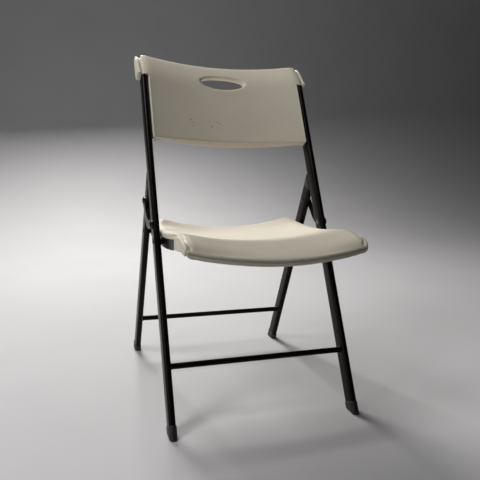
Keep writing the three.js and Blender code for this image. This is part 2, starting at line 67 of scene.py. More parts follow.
# ------------------------------------------------------------------ constants
# millimetres in here; every point becomes metres in world()
OY = 251.55
LF = math.radians(27.98)          # front tubes lean back
LR = math.radians(22.30)          # rear legs lean forward
RFY = 536.4                       # rear foot behind the front foot
TX, TW, TD, TT = 226.5, 16.0, 39.0, 1.3
TIN, TOUT = TX - TW / 2, TX + TW / 2
FRONT_LEN, REAR_LEN = 912.5, 569.0
PIV_P, PIV_B = (453.607, 0.0), (498.034, 0.0)
PIV_A, PIV_Q = (587.872, 70.272), (528.221, 137.787)
ARM_IN, ARM_OUT, ARM_H = 208.6, 213.4, 24.0
LINK_IN, LINK_OUT = 237.1, 239.6
SF, CF, SR, CR = math.sin(LF), math.cos(LF), math.sin(LR), math.cos(LR)


def front_pt(x, s, n):
    return (x, s * SF + n * CF - OY, s * CF - n * SF)


def rear_pt(x, s, n):
    return (x, RFY - s * SR + n * CR - OY, s * CR + n * SR)


def level_pt(x, y, z):
    return (x, y - OY, z)


def to_level(p):
    s, n = p
    return (s * SF + n * CF, s * CF - n * SF)


def to_rear(p):
    y, z = to_level(p)
    y -= RFY
    return (-y * SR + z * CR, y * CR + z * SR)


P_L, Q_L = to_level(PIV_P), to_level(PIV_Q)
A_R, Q_R = to_rear(PIV_A), to_rear(PIV_Q)


def table(t, v):
    """cubic through a table of (t, value), vectorised"""
    v = np.atleast_1d(np.asarray(v, float))
    xs = np.array([q[0] for q in t], float)
    ys = np.array([q[1] for q in t], float)
    m = np.empty_like(ys)
    m[1:-1] = (ys[2:] - ys[:-2]) / (xs[2:] - xs[:-2])
    m[0] = (ys[1] - ys[0]) / (xs[1] - xs[0])
    m[-1] = (ys[-1] - ys[-2]) / (xs[-1] - xs[-2])
    w = np.clip(v, xs[0], xs[-1])
    i = np.clip(np.searchsorted(xs, w, side="right") - 1, 0, len(xs) - 2)
    h = xs[i + 1] - xs[i]
    k = (w - xs[i]) / h
    k2, k3 = k * k, k * k * k
    return ((2 * k3 - 3 * k2 + 1) * ys[i] + (k3 - 2 * k2 + k) * h * m[i]
            + (-2 * k3 + 3 * k2) * ys[i + 1] + (k3 - k2) * h * m[i + 1])


def smooth01(v):
    v = np.clip(v, 0.0, 1.0)
    return v * v * (3 - 2 * v)


# ------------------------------------------------------------------ materials
def new_mat(name):
    m = bpy.data.materials.new(name)
    m.use_nodes = True
    nt = m.node_tree
    nt.nodes.clear()
    out = nt.nodes.new("ShaderNodeOutputMaterial")
    bsdf = nt.nodes.new("ShaderNodeBsdfPrincipled")
    nt.links.new(bsdf.outputs[0], out.inputs[0])
    return m, nt, bsdf


def node(nt, kind, **props):
    n = nt.nodes.new(kind)
    for k, v in props.items():
        setattr(n, k, v)
    return n


def noise(nt, coord, scale, detail=2.0, rough=0.5, stretch=None):
    n = node(nt, "ShaderNodeTexNoise")
    n.inputs["Scale"].default_value = scale
    n.inputs["Detail"].default_value = detail
    n.inputs["Roughness"].default_value = rough
    if stretch:
        mp = node(nt, "ShaderNodeMapping")
        mp.inputs["Scale"].default_value = stretch
        nt.links.new(coord, mp.inputs["Vector"])
        coord = mp.outputs[0]
    nt.links.new(coord, n.inputs["Vector"])
    return n.outputs["Fac"]


def ramp(nt, fac, stops):
    r = node(nt, "ShaderNodeValToRGB")
    els = r.color_ramp.elements
    while len(els) < len(stops):
        els.new(0.5)
    for e, (p, c) in zip(els, stops):
        e.position = p
        e.color = c if len(c) == 4 else (*c, 1.0)
    nt.links.new(fac, r.inputs[0])
    return r.outputs[0]


def span_map(nt, fac, a, b, lo, hi):
    r = node(nt, "ShaderNodeMapRange")
    r.inputs["From Min"].default_value = a
    r.inputs["From Max"].default_value = b
    r.inputs["To Min"].default_value = lo
    r.inputs["To Max"].default_value = hi
    nt.links.new(fac, r.inputs["Value"])
    return r.outputs[0]


def mix_rgb(nt, fac, a, b, mode="MIX"):
    m = node(nt, "ShaderNodeMix", data_type="RGBA", blend_type=mode)
    for sock, val in ((m.inputs[0], fac), (m.inputs[6], a), (m.inputs[7], b)):
        if isinstance(val, bpy.types.NodeSocket):
            nt.links.new(val, sock)
        elif isinstance(val, (int, float)):
            sock.default_value = val
        else:
            sock.default_value = (*val, 1.0)
    return m.outputs[2]


def math_node(nt, op, a, b=None):
    m = node(nt, "ShaderNodeMath", operation=op)
    for sock, val in ((m.inputs[0], a), (m.inputs[1], b)):
        if val is None:
            continue
        if isinstance(val, bpy.types.NodeSocket):
            nt.links.new(val, sock)
        else:
            sock.default_value = val
    return m.outputs[0]


def bump(nt, height, strength, distance, normal=None):
    b = node(nt, "ShaderNodeBump")
    b.inputs["Strength"].default_value = strength
    b.inputs["Distance"].default_value = distance
    nt.links.new(height, b.inputs["Height"])
    if normal is not None:
        nt.links.new(normal, b.inputs["Normal"])
    return b.outputs[0]


def coords(nt):
    return node(nt, "ShaderNodeTexCoord").outputs["Object"]


def edge_wear(nt):
    """0 on flats, towards 1 on convex edges"""
    g = node(nt, "ShaderNodeNewGeometry")
    return span_map(nt, g.outputs["Pointiness"], 0.52, 0.60, 0.0, 1.0)


def plastic_material(name, spots=()):
    m, nt, b = new_mat(name)
    co = coords(nt)
    broad = noise(nt, co, 9.0, 3.0, 0.55)
    mid = noise(nt, co, 70.0, 4.0, 0.6)
    fine = noise(nt, co, 900.0, 2.0, 0.6)
    pebble = noise(nt, co, 2100.0, 1.0, 0.5)
    c = ramp(nt, broad, [(0.30, (0.635, 0.583, 0.484)), (0.70, (0.680, 0.627, 0.527))])
    c = mix_rgb(nt, span_map(nt, mid, 0.35, 0.75, 0.0, 0.35), c, (0.605, 0.553, 0.452))
    c = mix_rgb(nt, span_map(nt, fine, 0.60, 0.80, 0.0, 0.10), c, (0.50, 0.46, 0.39))
    # small scuffs on the back, and painted shade of a small recess in each side band of the seat, at fixed places
    for (x, y, z, r, dark) in spots:
        d = node(nt, "ShaderNodeVectorMath", operation="DISTANCE")
        nt.links.new(co, d.inputs[0])
        d.inputs[1].default_value = (x, y, z)
        wob = math_node(nt, "ADD", d.outputs["Value"], span_map(nt, fine, 0.3, 0.7, -0.25 * r, 0.25 * r))
        f = span_map(nt, wob, 0.55 * r, r, dark, 0.0)
        c = mix_rgb(nt, f, c, (0.09, 0.06, 0.045))
    nt.links.new(c, b.inputs["Base Color"])
    r = span_map(nt, mid, 0.3, 0.7, 0.46, 0.56)
    nt.links.new(r, b.inputs["Roughness"])
    b.inputs["Specular IOR Level"].default_value = 0.42
    b.inputs["Subsurface Weight"].default_value = 0.04
    b.inputs["Subsurface Radius"].default_value = (0.004, 0.003, 0.002)
    b.inputs["Subsurface Scale"].default_value = 1.0
    h = math_node(nt, "ADD", math_node(nt, "MULTIPLY", fine, 0.6), math_node(nt, "MULTIPLY", pebble, 0.4))
    n1 = bump(nt, h, 0.22, 0.0006)
    n2 = bump(nt, mid, 0.05, 0.0015, n1)
    nt.links.new(n2, b.inputs["Normal"])
    return m


def paint_material(name, base, rough=(0.30, 0.40), coat=0.25, peel=0.10):
    m, nt, b = new_mat(name)
    co = coords(nt)
    broad = noise(nt, co, 14.0, 3.0)
    peel_n = noise(nt, co, 520.0, 2.0, 0.5)
    speck = noise(nt, co, 1700.0, 1.0, 0.5)
    dark = tuple(0.72 * c for c in base)
    warm = (base[0] * 1.45, base[1] * 1.2, base[2] * 1.0)
    c = ramp(nt, broad, [(0.32, dark), (0.68, warm)])
    c = mix_rgb(nt, span_map(nt, speck, 0.66, 0.74, 0.0, 0.45), c, (base[0] * 3.2, base[1] * 2.7, base[2] * 2.1))
    wear = math_node(nt, "MULTIPLY", edge_wear(nt), span_map(nt, noise(nt, co, 60.0, 4.0, 0.65), 0.55, 0.75, 0.0, 0.5))
    c = mix_rgb(nt, wear, c, (0.075, 0.066, 0.057))
    nt.links.new(c, b.inputs["Base Color"])
    nt.links.new(span_map(nt, broad, 0.3, 0.7, *rough), b.inputs["Roughness"])
    b.inputs["Metallic"].default_value = 0.0
    b.inputs["Specular IOR Level"].default_value = 0.10
    b.inputs["Coat Weight"].default_value = coat
    b.inputs["Coat Roughness"].default_value = 0.22
    n1 = bump(nt, peel_n, peel, 0.0008)
    nt.links.new(n1, b.inputs["Normal"])
    return m


def black_material(name):
    m, nt, b = new_mat(name)
    co = coords(nt)
    broad = noise(nt, co, 60.0, 3.0)
    fine = noise(nt, co, 1300.0, 2.0, 0.6)
    c = ramp(nt, broad, [(0.3, (0.010, 0.009, 0.010)), (0.7, (0.021, 0.018, 0.019))])
    # floor dust and scuffs low on the caps
    sep = node(nt, "ShaderNodeSeparateXYZ")
    nt.links.new(co, sep.inputs[0])
    low = span_map(nt, sep.outputs["Z"], 0.0, 0.012, 1.0, 0.0)
    dust = math_node(nt, "MULTIPLY", low, span_map(nt, noise(nt, co, 260.0, 4.0, 0.65), 0.4, 0.7, 0.0, 0.45))
    c = mix_rgb(nt, dust, c, (0.12, 0.105, 0.09))
    nt.links.new(c, b.inputs["Base Color"])
    nt.links.new(span_map(nt, fine, 0.3, 0.7, 0.42, 0.58), b.inputs["Roughness"])
    b.inputs["Specular IOR Level"].default_value = 0.45
    nt.links.new(bump(nt, fine, 0.18, 0.0004), b.inputs["Normal"])
    return m


def zinc_material(name, painted_shade_factor=1.0):
    m, nt, b = new_mat(name)
    co = coords(nt)
    brush = noise(nt, co, 240.0, 3.0, 0.6, stretch=(14.0, 1.0, 1.0))
    patch = noise(nt, co, 120.0, 3.0)
    # a factor below 1 darkens the whole zinc colour as painted shade
    c = ramp(nt, patch, [(0.3, (0.50 * painted_shade_factor, 0.485 * painted_shade_factor, 0.45 * painted_shade_factor)), (0.7, (0.70 * painted_shade_factor, 0.69 * painted_shade_factor, 0.65 * painted_shade_factor))])
    c = mix_rgb(nt, span_map(nt, brush, 0.55, 0.75, 0.0, 0.4), c, (0.34 * painted_shade_factor, 0.32 * painted_shade_factor, 0.29 * painted_shade_factor))
    nt.links.new(c, b.inputs["Base Color"])
    b.inputs["Metallic"].default_value = 0.95
    nt.links.new(span_map(nt, brush, 0.3, 0.7, 0.26, 0.42), b.inputs["Roughness"])
    nt.links.new(bump(nt, brush, 0.12, 0.0003), b.inputs["Normal"])
    return m


def rivet_material(name):
    m, nt, b = new_mat(name)
    co = coords(nt)
    patch = noise(nt, co, 260.0, 3.0)
    c = ramp(nt, patch, [(0.3, (0.022, 0.019, 0.016)), (0.7, (0.050, 0.044, 0.038))])
    c = mix_rgb(nt, math_node(nt, "MULTIPLY", edge_wear(nt), 0.5), c, (0.25, 0.235, 0.21))
    nt.links.new(c, b.inputs["Base Color"])
    b.inputs["Metallic"].default_value = 0.7
    nt.links.new(span_map(nt, patch, 0.3, 0.7, 0.28, 0.42), b.inputs["Roughness"])
    nt.links.new(bump(nt, noise(nt, co, 1500.0, 2.0), 0.12, 0.0003), b.inputs["Normal"])
    return m


def mm(p):
    return tuple(c * 0.001 for c in p)


def back_n(x, s):
    e = table(BACK_EDGE, s)
    q = np.minimum(np.abs(x) / 214.5, 1.0)
    return e + 33.0 * (1 - q * q)


BACK_EDGE = [(700, -22), (880, -22), (912, -21), (932, -17.5), (952, -10.5), (972, -2), (990, 7)]


def on_back(x, s):
    return mm(front_pt(x, s, float(back_n(np.array([x]), np.array([s]))[0])))


SPOTS_BACK = [(*on_back(-107, 796), 0.0030, 0.55), (*on_back(-103, 788), 0.0026, 0.50), (*on_back(-100, 778), 0.0022, 0.35), (*on_back(-47, 781), 0.0034, 0.50), (*on_back(-30, 795), 0.0026, 0.45), (*on_back(-24, 790), 0.0028, 0.50), (*on_back(-29, 774), 0.0022, 0.35)]
# one dark spot on each side band of the seat: painted shade of a small recess there
SPOTS_SEAT_RECESS_SHADE = [(-0.2152, 0.2027 - 0.25155, 0.4182, 0.0042, 0.85), (0.2152, 0.2027 - 0.25155, 0.4182, 0.0042, 0.85)]

M_BACK = plastic_material("moulded_plastic_back", SPOTS_BACK)
M_SEAT = plastic_material("moulded_plastic_seat", SPOTS_SEAT_RECESS_SHADE)
M_PAINT = paint_material("bronze_powder_coat", (0.0042, 0.0035, 0.0029), rough=(0.26, 0.34), coat=0.0, peel=0.07)
M_BLACK = black_material("black_moulded_plastic")
M_ZINC = zinc_material("zinc_plate")
M_RIVET = rivet_material("dark_rivet")
# zinc of the lower link pin darkened to 28%: painted shade on its heads
M_PIN = zinc_material("zinc_pin_painted_shade", 0.28)


# -------------------------------------------------------------- mesh building
def world(fn, verts):
    # heights kept a hair below the top of the imported model's box
    out = []
    for v in verts:
        p = mm(fn(*v))
        out.append((p[0], p[1], min(p[2], CAD_BOX[1][2] - 0.0001)))
    return out


class Shells:
    """one piece made of closed shells"""

    def __init__(self):
        self.v, self.f = [], []

    def add(self, verts, faces):
        o = len(self.v)
        self.v += [tuple(float(c) for c in v) for v in verts]
        self.f += [tuple(o + i for i in f) for f in faces]
        return self

    def add_bm(self, bm):
        bm.verts.index_update()
        self.add([tuple(v.co) for v in bm.verts], [tuple(v.index for v in f.verts) for f in bm.faces])
        bm.free()
        return self


def piece(name, shells, fn, body, nodes, material, angle=35.0):
    me = bpy.data.meshes.new(name)
    me.from_pydata(world(fn, shells.v), [], shells.f)
    bm = bmesh.new()
    bm.from_mesh(me)
    bmesh.ops.recalc_face_normals(bm, faces=bm.faces[:])
    bm.to_mesh(me)
    bm.free()
    me.materials.append(material)
    me.shade_smooth()
    me.set_sharp_from_angle(angle=math.radians(angle))
    me.update()
    ob = bpy.data.objects.new(name, me)
    bpy.context.scene.collection.objects.link(ob)
    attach(ob, body)
    if nodes:
        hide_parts(*nodes)
    return ob


def stadium(w, d, seg=12):
    """outline (x, n), counter-clockwise"""
    r, c, pts = w / 2, d / 2 - w / 2, []
    for i in range(seg + 1):
        a = math.pi * i / seg
        pts.append((r * math.cos(a), c + r * math.sin(a)))
    for i in range(seg + 1):
        a = math.pi + math.pi * i / seg
        pts.append((r * math.cos(a), -c + r * math.sin(a)))
    return pts


def loft(rings, close_ends=True):
    """rings of equal length, each a list of points; closed loft"""
    n = len(rings[0])
    v = [p for r in rings for p in r]
    f = []
    for k in range(len(rings) - 1):
        for i in range(n):
            j = (i + 1) % n
            f.append((k * n + i, k * n + j, (k + 1) * n + j, (k + 1) * n + i))
    if close_ends:
        f.append(tuple(reversed(range(n))))
        f.append(tuple((len(rings) - 1) * n + i for i in range(n)))
    return v, f


def lathe_x(profile, s, n, seg=36):
    """turned solid about an axis parallel to X at (s, n); profile of (x, r) from axis to axis"""
    v, f, rows = [], [], []
    for x, r in profile:
        if r < 1e-6:
            rows.append([len(v)])
            v.append((x, s, n))
        else:
            rows.append(list(range(len(v), len(v) + seg)))
            v += [(x, s + r * math.cos(2 * math.pi * i / seg), n + r * math.sin(2 * math.pi * i / seg)) for i in range(seg)]
    for a, b in zip(rows, rows[1:]):
        for i in range(seg):
            j = (i + 1) % seg
            if len(a) == 1 and len(b) == 1:
                continue
            if len(a) == 1:
                f.append((a[0], b[j], b[i]))
            elif len(b) == 1:
                f.append((a[i], a[j], b[0]))
            else:
                f.append((a[i], a[j], b[j], b[i]))
    return v, f


def ring_x(x0, x1, r_in, r_out, s, n, seg=36, ch=0.25):
    """washer about an axis parallel to X with small chamfers"""
    prof = [(x0, r_in), (x0, r_out - ch), (x0 + ch, r_out), (x1 - ch, r_out), (x1, r_out - ch), (x1, r_in)]
    v, f = [], []
    k = len(prof)
    for x, r in prof:
        v += [(x, s + r * math.cos(2 * math.pi * i / seg), n + r * math.sin(2 * math.pi * i / seg)) for i in range(seg)]
    for a in range(k):
        b = (a + 1) % k
        for i in range(seg):
            j = (i + 1) % seg
            f.append((a * seg + i, a * seg + j, b * seg + j, b * seg + i))
    return v, f


def plate_bm(outline, x0, x1, width, segs=3):
    """flat plate: outline (s, n) or (y, z), between x0 and x1, rims rounded by width"""
    bm = bmesh.new()
    a = [bm.verts.new((x0, p, q)) for p, q in outline]
    b = [bm.verts.new((x1, p, q)) for p, q in outline]
    bm.faces.new(a)
    bm.faces.new(list(reversed(b)))
    n = len(outline)
    rims = []
    for i in range(n):
        j = (i + 1) % n
        bm.faces.new((a[j], a[i], b[i], b[j]))
    bm.edges.ensure_lookup_table()
    for e in bm.edges:
        if len({round(v.co.x, 6) for v in e.verts}) == 1:
            rims.append(e)
    bmesh.ops.recalc_face_normals(bm, faces=bm.faces[:])
    if width > 0:
        bmesh.ops.bevel(bm, geom=rims, offset=width, segments=segs, profile=0.5, affect="EDGES", clamp_overlap=True)
    return bm


def block_bm(lo, hi, width, segs=3):
    """rounded block in local coordinates"""
    bm = bmesh.new()
    bmesh.ops.create_cube(bm, size=1.0)
    for v in bm.verts:
        v.co = Vector([lo[k] + (v.co[k] + 0.5) * (hi[k] - lo[k]) for k in range(3)])
    bmesh.ops.bevel(bm, geom=bm.edges[:], offset=width, segments=segs, profile=0.5, affect="EDGES", clamp_overlap=True)
    return bm


def mirror(profile, sg):
    return profile if sg > 0 else [(-x, r) for x, r in profile][::-1]


SIDES = (("left", -1), ("right", 1))

# ---------------------------------------------------------------- frame tubes
def tube(name, fn, x, s0, s1, body, nodes, rows=40):
    o = stadium(TW, TD, 12)
    rings = [[(x + px, s0 + (s1 - s0) * k / rows, pn) for px, pn in o] for k in range(rows + 1)]
    sh = Shells().add(*loft(rings))
    return piece(name, sh, fn, body, nodes, M_PAINT, 30)


def foot_cap(name, fn, x, lean, body, nodes):
    """moulded cup with a soft lip, cut level on the floor"""
    o = stadium(TW, TD, 12)
    c = TD / 2 - TW / 2

    def grow(px, pn, g):
        cx, cy = 0.0, max(-c, min(c, pn))
        dx, dy = px - cx, pn - cy
        d = math.hypot(dx, dy)
        return px + dx / d * g, pn + dy / d * g

    def cut(pn):
        return pn * math.tan(lean)

    rows = [(-1.6, 0.0), (-0.4, 0.25), (0.75, 1.0), (1.3, 2.4), (1.45, 4.5)]
    rings = []
    for g, up in rows:
        r = []
        for px, pn in o:
            a, b = grow(px, pn, g)
            r.append((x + a, cut(b) + up / math.cos(lean), b))
        rings.append(r)
    for g, s in ((1.45, 13.0), (1.35, 20.0), (1.25, 22.4), (0.95, 23.4), (0.45, 23.9), (-0.3, 24.0)):
        r = []
        for px, pn in o:
            a, b = grow(px, pn, g)
            low = cut(b) + 4.5 / math.cos(lean)
            r.append((x + a, max(s, low + 0.4 * (s - 12.0) / 12.0) if s < 20 else s, b))
        rings.append(r)
    sh = Shells().add(*loft(rings))
    # moulded snap tab on the front and rear of the cup
    for sgn in (-1, 1):
        bm = block_bm((x - 2.4, 13.0 + sgn * 2.0, sgn * (TD / 2 + 0.6) - 0.9), (x + 2.4, 18.5 + sgn * 2.0, sgn * (TD / 2 + 0.6) + 0.9), 0.6, 2)
        sh.add_bm(bm)
    return piece(name, sh, fn, body, nodes, M_BLACK, 40)


for side, sg in SIDES:
    x = sg * TX
    tube(f"front_tube_{side}", front_pt, x, 13.0, FRONT_LEN, "front_frame", [f"front_leg_{side}"])
    tube(f"rear_tube_{side}", rear_pt, x, 13.0, REAR_LEN, "rear_frame", [f"rear_leg_{side}"])
    foot_cap(f"front_foot_{side}", front_pt, x, LF, "front_frame", [f"front_foot_cap_{side}"])
    foot_cap(f"rear_foot_{side}", rear_pt, x, -LR, "rear_frame", [f"rear_foot_cap_{side}"])
    # slanted plug in the top of the rear leg
    o = stadium(TW, TD, 12)
    c = TD / 2 - TW / 2
    ab = LF + LR

    def top_s(nr):
        return (RFY * CF + nr * math.cos(ab) - 19.8) / math.sin(ab)

    def shrink(px, pn, g):
        cy = max(-c, min(c, pn))
        d = math.hypot(px, pn - cy)
        return px - px / d * g, pn - (pn - cy) / d * g

    rings = [[(x + a, REAR_LEN - 4.0, b) for a, b in (shrink(px, pn, 1.6) for px, pn in o)],
             [(x + a, REAR_LEN + 0.2, b) for a, b in (shrink(px, pn, 1.2) for px, pn in o)],
             [(x + a, REAR_LEN + 0.25, b) for a, b in (shrink(px, pn, 0.35) for px, pn in o)],
             [(x + a, REAR_LEN + 0.7, b) for a, b in (shrink(px, pn, 0.0) for px, pn in o)]]
    for g, down in ((0.0, 2.6), (0.25, 1.4), (0.8, 0.6), (1.7, 0.15), (3.0, 0.0)):
        rings.append([(x + a, max(top_s(b) - down, REAR_LEN + 1.0), b) for a, b in (shrink(px, pn, g) for px, pn in o)])
    piece(f"rear_top_plug_{side}", Shells().add(*loft(rings)), rear_pt, "rear_frame", [f"rear_leg_top_cap_{side}"], M_BLACK, 40)


def brace(name, fn, s, body, nodes):
    seg, r = 28, 7.0
    xe = TIN - 0.05
    xs = [-xe, -xe + 0.4, -xe + 1.6, -xe + 2.8, -xe + 3.6] + list(np.linspace(-xe + 6, xe - 6, 30)) + [xe - 3.6, xe - 2.8, xe - 1.6, xe - 0.4, xe]
    rings = []
    for i, x in enumerate(xs):
        d = xe - abs(x)
        ring = []
        for k in range(seg):
            a = 2 * math.pi * k / seg
            # weld bead: ripples where the brace meets the tube
            bead = 0.0
            if d < 3.7:
                bead = (1.9 + 0.28 * math.sin(7 * a + (1.3 if x > 0 else 0.2)) + 0.12 * math.sin(13 * a)) * (1 - (d / 3.7) ** 1.6)
            rr = r + max(0.0, bead)
            ring.append((x, s + rr * math.cos(a), rr * math.sin(a)))
        rings.append(ring)
    piece(name, Shells().add(*loft(rings)), fn, body, nodes, M_PAINT, 45)


brace("front_rung", front_pt, 152.0, "front_frame", ["front_cross_brace"])
brace("rear_rung", rear_pt, 121.6, "rear_frame", ["rear_cross_brace"])

# ------------------------------------------------------------------- backrest
HOLE_S, HOLE_A, HOLE_B = 924.0, 64.0, 21.8


def seg_pts(a, b, n):
    return [(a[0] + (b[0] - a[0]) * i / n, a[1] + (b[1] - a[1]) * i / n) for i in range(n)]


def arc_pts(cx, cy, r, a0, a1, n):
    return [(cx + r * math.cos(math.radians(a0 + (a1 - a0) * i / n)), cy + r * math.sin(math.radians(a0 + (a1 - a0) * i / n))) for i in range(n)]


def build_back():
    # rim of the front face, counter-clockwise from the bottom left, (x, s), with a type for each point
    rim, kind = [], []

    def put(pts, k):
        rim.extend(pts)
        kind.extend([k] * len(pts))

    put(seg_pts((-212.0, 728.0), (212.0, 728.0), 96), 0)                    # bottom
    put(arc_pts(212.0, 730.5, 2.5, -90, 0, 5), 0)
    put(seg_pts((214.5, 730.5), (214.5, 910.2), 42), 1)                     # right side
    put(arc_pts(217.0, 910.6, 2.5, 180, 90, 4), 2)
    put(seg_pts((217.0, 913.1), (226.5, 913.1), 5), 2)                      # step over the tube end
    put(arc_pts(226.5, 915.1, 2.0, -90, 0, 4), 2)
    put(seg_pts((228.5, 915.1), (228.5, 986.0), 18), 3)                     # beside the ear
    put(arc_pts(224.5, 986.0, 4.0, 0, 90, 8), 3)                           # top corner
    put(seg_pts((224.5, 990.0), (-224.5, 990.0), 96), 4)                    # top
    m = len(rim)
    left = [(-x, s) for x, s in rim[96 + 5:m - 96]][::-1]
    lk = kind[96 + 5:m - 96][::-1]
    put(left, 3)
    kind[m:] = lk
    put([(-x, s) for x, s in arc_pts(212.0, 730.5, 2.5, -90, 0, 5)][::-1], 0)
    rim = np.array(rim, float)
    # drop doubled points
    keep = [i for i in range(len(rim)) if np.hypot(*(rim[i] - rim[i - 1])) > 1e-3]
    rim, kind = rim[keep], [kind[i] for i in keep]
    N = len(rim)
    # outward normals of the rim
    nxt, prv = np.roll(rim, -1, 0), np.roll(rim, 1, 0)
    t = (nxt - prv)
    t /= np.hypot(t[:, 0], t[:, 1])[:, None]
    nor = np.stack([t[:, 1], -t[:, 0]], 1)
    # weights of the four edge sections, softened along the rim
    W = np.zeros((N, 5))
    for i, k in enumerate(kind):
        W[i, k] = 1.0
    for _ in range(2):
        W = 0.25 * np.roll(W, 1, 0) + 0.5 * W + 0.25 * np.roll(W, -1, 0)
    # matching points round the hand hole
    th = np.unwrap(np.arctan2((rim[:, 1] - HOLE_S) * 2.0, rim[:, 0]))
    th0 = th.copy()
    step = np.diff(np.append(th, th[0] + 2 * math.pi))
    step = np.maximum(step, 0.004)
    for _ in range(60):
        step = 0.25 * np.roll(step, 1) + 0.5 * step + 0.25 * np.roll(step, -1)
    step *= 2 * math.pi / step.sum()
    th = th0[0] + np.concatenate([[0], np.cumsum(step)[:-1]])
    th += (np.mean(th0) - np.mean(th))
    hole = np.stack([HOLE_A * np.cos(th), HOLE_S + HOLE_B * np.sin(th)], 1)
    hn = np.stack([np.cos(th) / HOLE_A, np.sin(th) / HOLE_B], 1)
    hn /= np.hypot(hn[:, 0], hn[:, 1])[:, None]          # from the hole into the panel
    T = 20.0
    # edge sections: (outwards from the rim, to the rear)
    bottom = [(-2.4, 0), (-1.2, .15), (-.45, .6), (-.08, 1.4), (0, 2.4), (0, 6), (0, 10), (0, 14), (-.3, 16.2), (-1.2, 18.3), (-2.9, 19.6), (-5, 20), (-9, 20), (-15, 20), (-24, 20)]
    sides = [(-2.0, 0), (-.9, .05), (-.2, .35), (.2, 1.1), (.7, 3.0), (2.1, 9.6), (3.3, 15.0), (3.5, 22), (3.5, 30), (3.35, 33), (2.6, 35.2), (1.0, 36.2), (-2.5, 33.5), (-9, 26.0), (-22, 20)]
    step_ = [(-1.2, 0), (-.6, .1), (-.25, .3), (-.05, .7), (0, 1.3), (0, 5), (0, 9), (0, 14), (0, 18), (0, 21), (0, 24), (0, 26.5), (-2.5, 27), (-9, 24.5), (-20, 20)]
    ear = [(-2.6, 0), (-1.6, .2), (-.75, .7), (-.2, 1.5), (0, 2.6), (.1, 6), (.2, 9), (.2, 12), (.2, 15), (.2, 17.5), (0, 19), (-1.5, 20), (-5, 20), (-12, 20), (-22, 20)]
    top = [(-3.4, 0), (-2.1, .25), (-1.0, .85), (-.3, 1.9), (0, 3.3), (0, 7.5), (0, 10), (0, 12.5), (-.45, 14.9), (-1.6, 17.3), (-3.6, 19.2), (-6.5, 20), (-10, 20), (-15, 20), (-24, 20)]
    secs = np.array([bottom, sides, step_, ear, top])
    K = secs.shape[1]
    prof = np.einsum("ik,kjc->ijc", W, secs)             # N x K x 2
    bevel = np.array([(-9.6, 0), (-8.6, .25), (-7.9, .9), (-7.4, 1.8), (-6.8, 3.0), (-5.0, 6.2), (-3.0, 9.8), (-1.2, 13.2), (-.4, 15.4), (-.6, 17.6), (-2.4, 19.4), (-5, 20), (-9, 20), (-15, 20), (-24, 20)])
    wide = W[:, 0] * np.clip(1 - (np.abs(rim[:, 0]) / 205.0) ** 2, 0, 1) ** 0.8
    prof = prof + wide[:, None, None] * (bevel - secs[0])[None]
    hole_f = [(6.6, 0), (4.6, .3), (2.8, 1.1), (1.3, 2.5), (.4, 4.4), (0, 6.4), (0, 8.6), (-.55, 9.4), (-.8, 10.0), (-.55, 10.6), (0, 11.4), (0, 13.6), (.35, 15.6), (1.2, 17.5), (2.6, 18.9), (4.4, 19.7), (6.4, 20)]
    R = 26
    rings = []

    def surf(xy, off):
        n = back_n(xy[:, 0], xy[:, 1]) + off
        return np.stack([xy[:, 0], xy[:, 1], n], 1)

    start = hole + hn * hole_f[0][0]
    end = rim + nor * prof[:, 0, 0][:, None]
    for a in np.linspace(0, 1, R):
        k = a + 0.10 * math.sin(2 * math.pi * a) / (2 * math.pi) * 0 + 0.0
        k = 0.5 * (a + a ** 1.35)
        rings.append(surf(start * (1 - k) + end * k, 0.0))
    # the edge: n starts from the rim's own front surface
    base = back_n(rim[:, 0], rim[:, 1])
    for j in range(1, K):
        xy = rim + nor * prof[:, j, 0][:, None]
        own = back_n(xy[:, 0], xy[:, 1])
        inside = np.clip(-prof[:, j, 0] / 6.0, 0, 1)
        n = base * (1 - inside) + own * inside + prof[:, j, 1]
        rings.append(np.stack([xy[:, 0], xy[:, 1], n], 1))
    end_r = rim + nor * prof[:, K - 1, 0][:, None]
    start_r = hole + hn * hole_f[-1][0]
    for a in np.linspace(0, 1, R - 8)[1:]:
        k = 0.5 * ((1 - a) + (1 - a) ** 1.35)
        rings.append(surf(start_r * (1 - k) + end_r * k, T))
    for h, d in reversed(hole_f[1:-1]):
        rings.append(surf(hole + hn * h, d))
    v = np.concatenate(rings)
    nr = len(rings)
    f = []
    for k in range(nr):
        kk = (k + 1) % nr
        for i in range(N):
            j = (i + 1) % N
            f.append((k * N + i, k * N + j, kk * N + j, kk * N + i))
    sh = Shells().add(v.tolist(), f)
    edge = lambda s: float(table(BACK_EDGE, s)[0])
    for sg in (-1, 1):
        # cheek over the tube end: outer wall, groove floor, wall behind the tube
        ridge = [(914.2, -23.0), (920, -20.6), (926, -18.0), (933, -15.0), (945, -11.0), (956, -7.0), (966, -2.2), (974, 2.4), (980, 6.4), (984.6, 10.6), (987.2, 15.6), (987.6, 21.0), (985.0, 26.0), (979.5, 29.2), (968, 30.3)]
        outer = ridge + [(950, 29.6), (936, 27.8), (926, 25.0), (919.5, 20.8), (915.6, 15.2), (914.0, 8.6)]
        low = [(913.8, -4.0), (913.8, -14.0)]
        x0, x1 = (234.25, 243.4) if sg > 0 else (-243.4, -234.25)
        sh.add_bm(plate_bm(outer + low, x0, x1, 3.2, 5))
        floor = [(913.9, edge(913.9) + 5.0)] + [(s, edge(s) + 5.4) for s in (925, 935, 945, 955, 965, 973)] + [(980, edge(980) + 6.4), (983.6, 13.5), (984.4, 18), (983.0, 24), (978, 27.5), (960, 28), (936, 26), (918, 20), (913.9, 12)]
        x0, x1 = (222.0, 238.0) if sg > 0 else (-238.0, -222.0)
        sh.add_bm(plate_bm(floor, x0, x1, 1.2, 2))
        x0, x1 = (208.0, 240.0) if sg > 0 else (-240.0, -208.0)
        sh.add_bm(block_bm((x0, 922.0, 14.0), (x1, 972.0, 28.4), 4.0, 4))
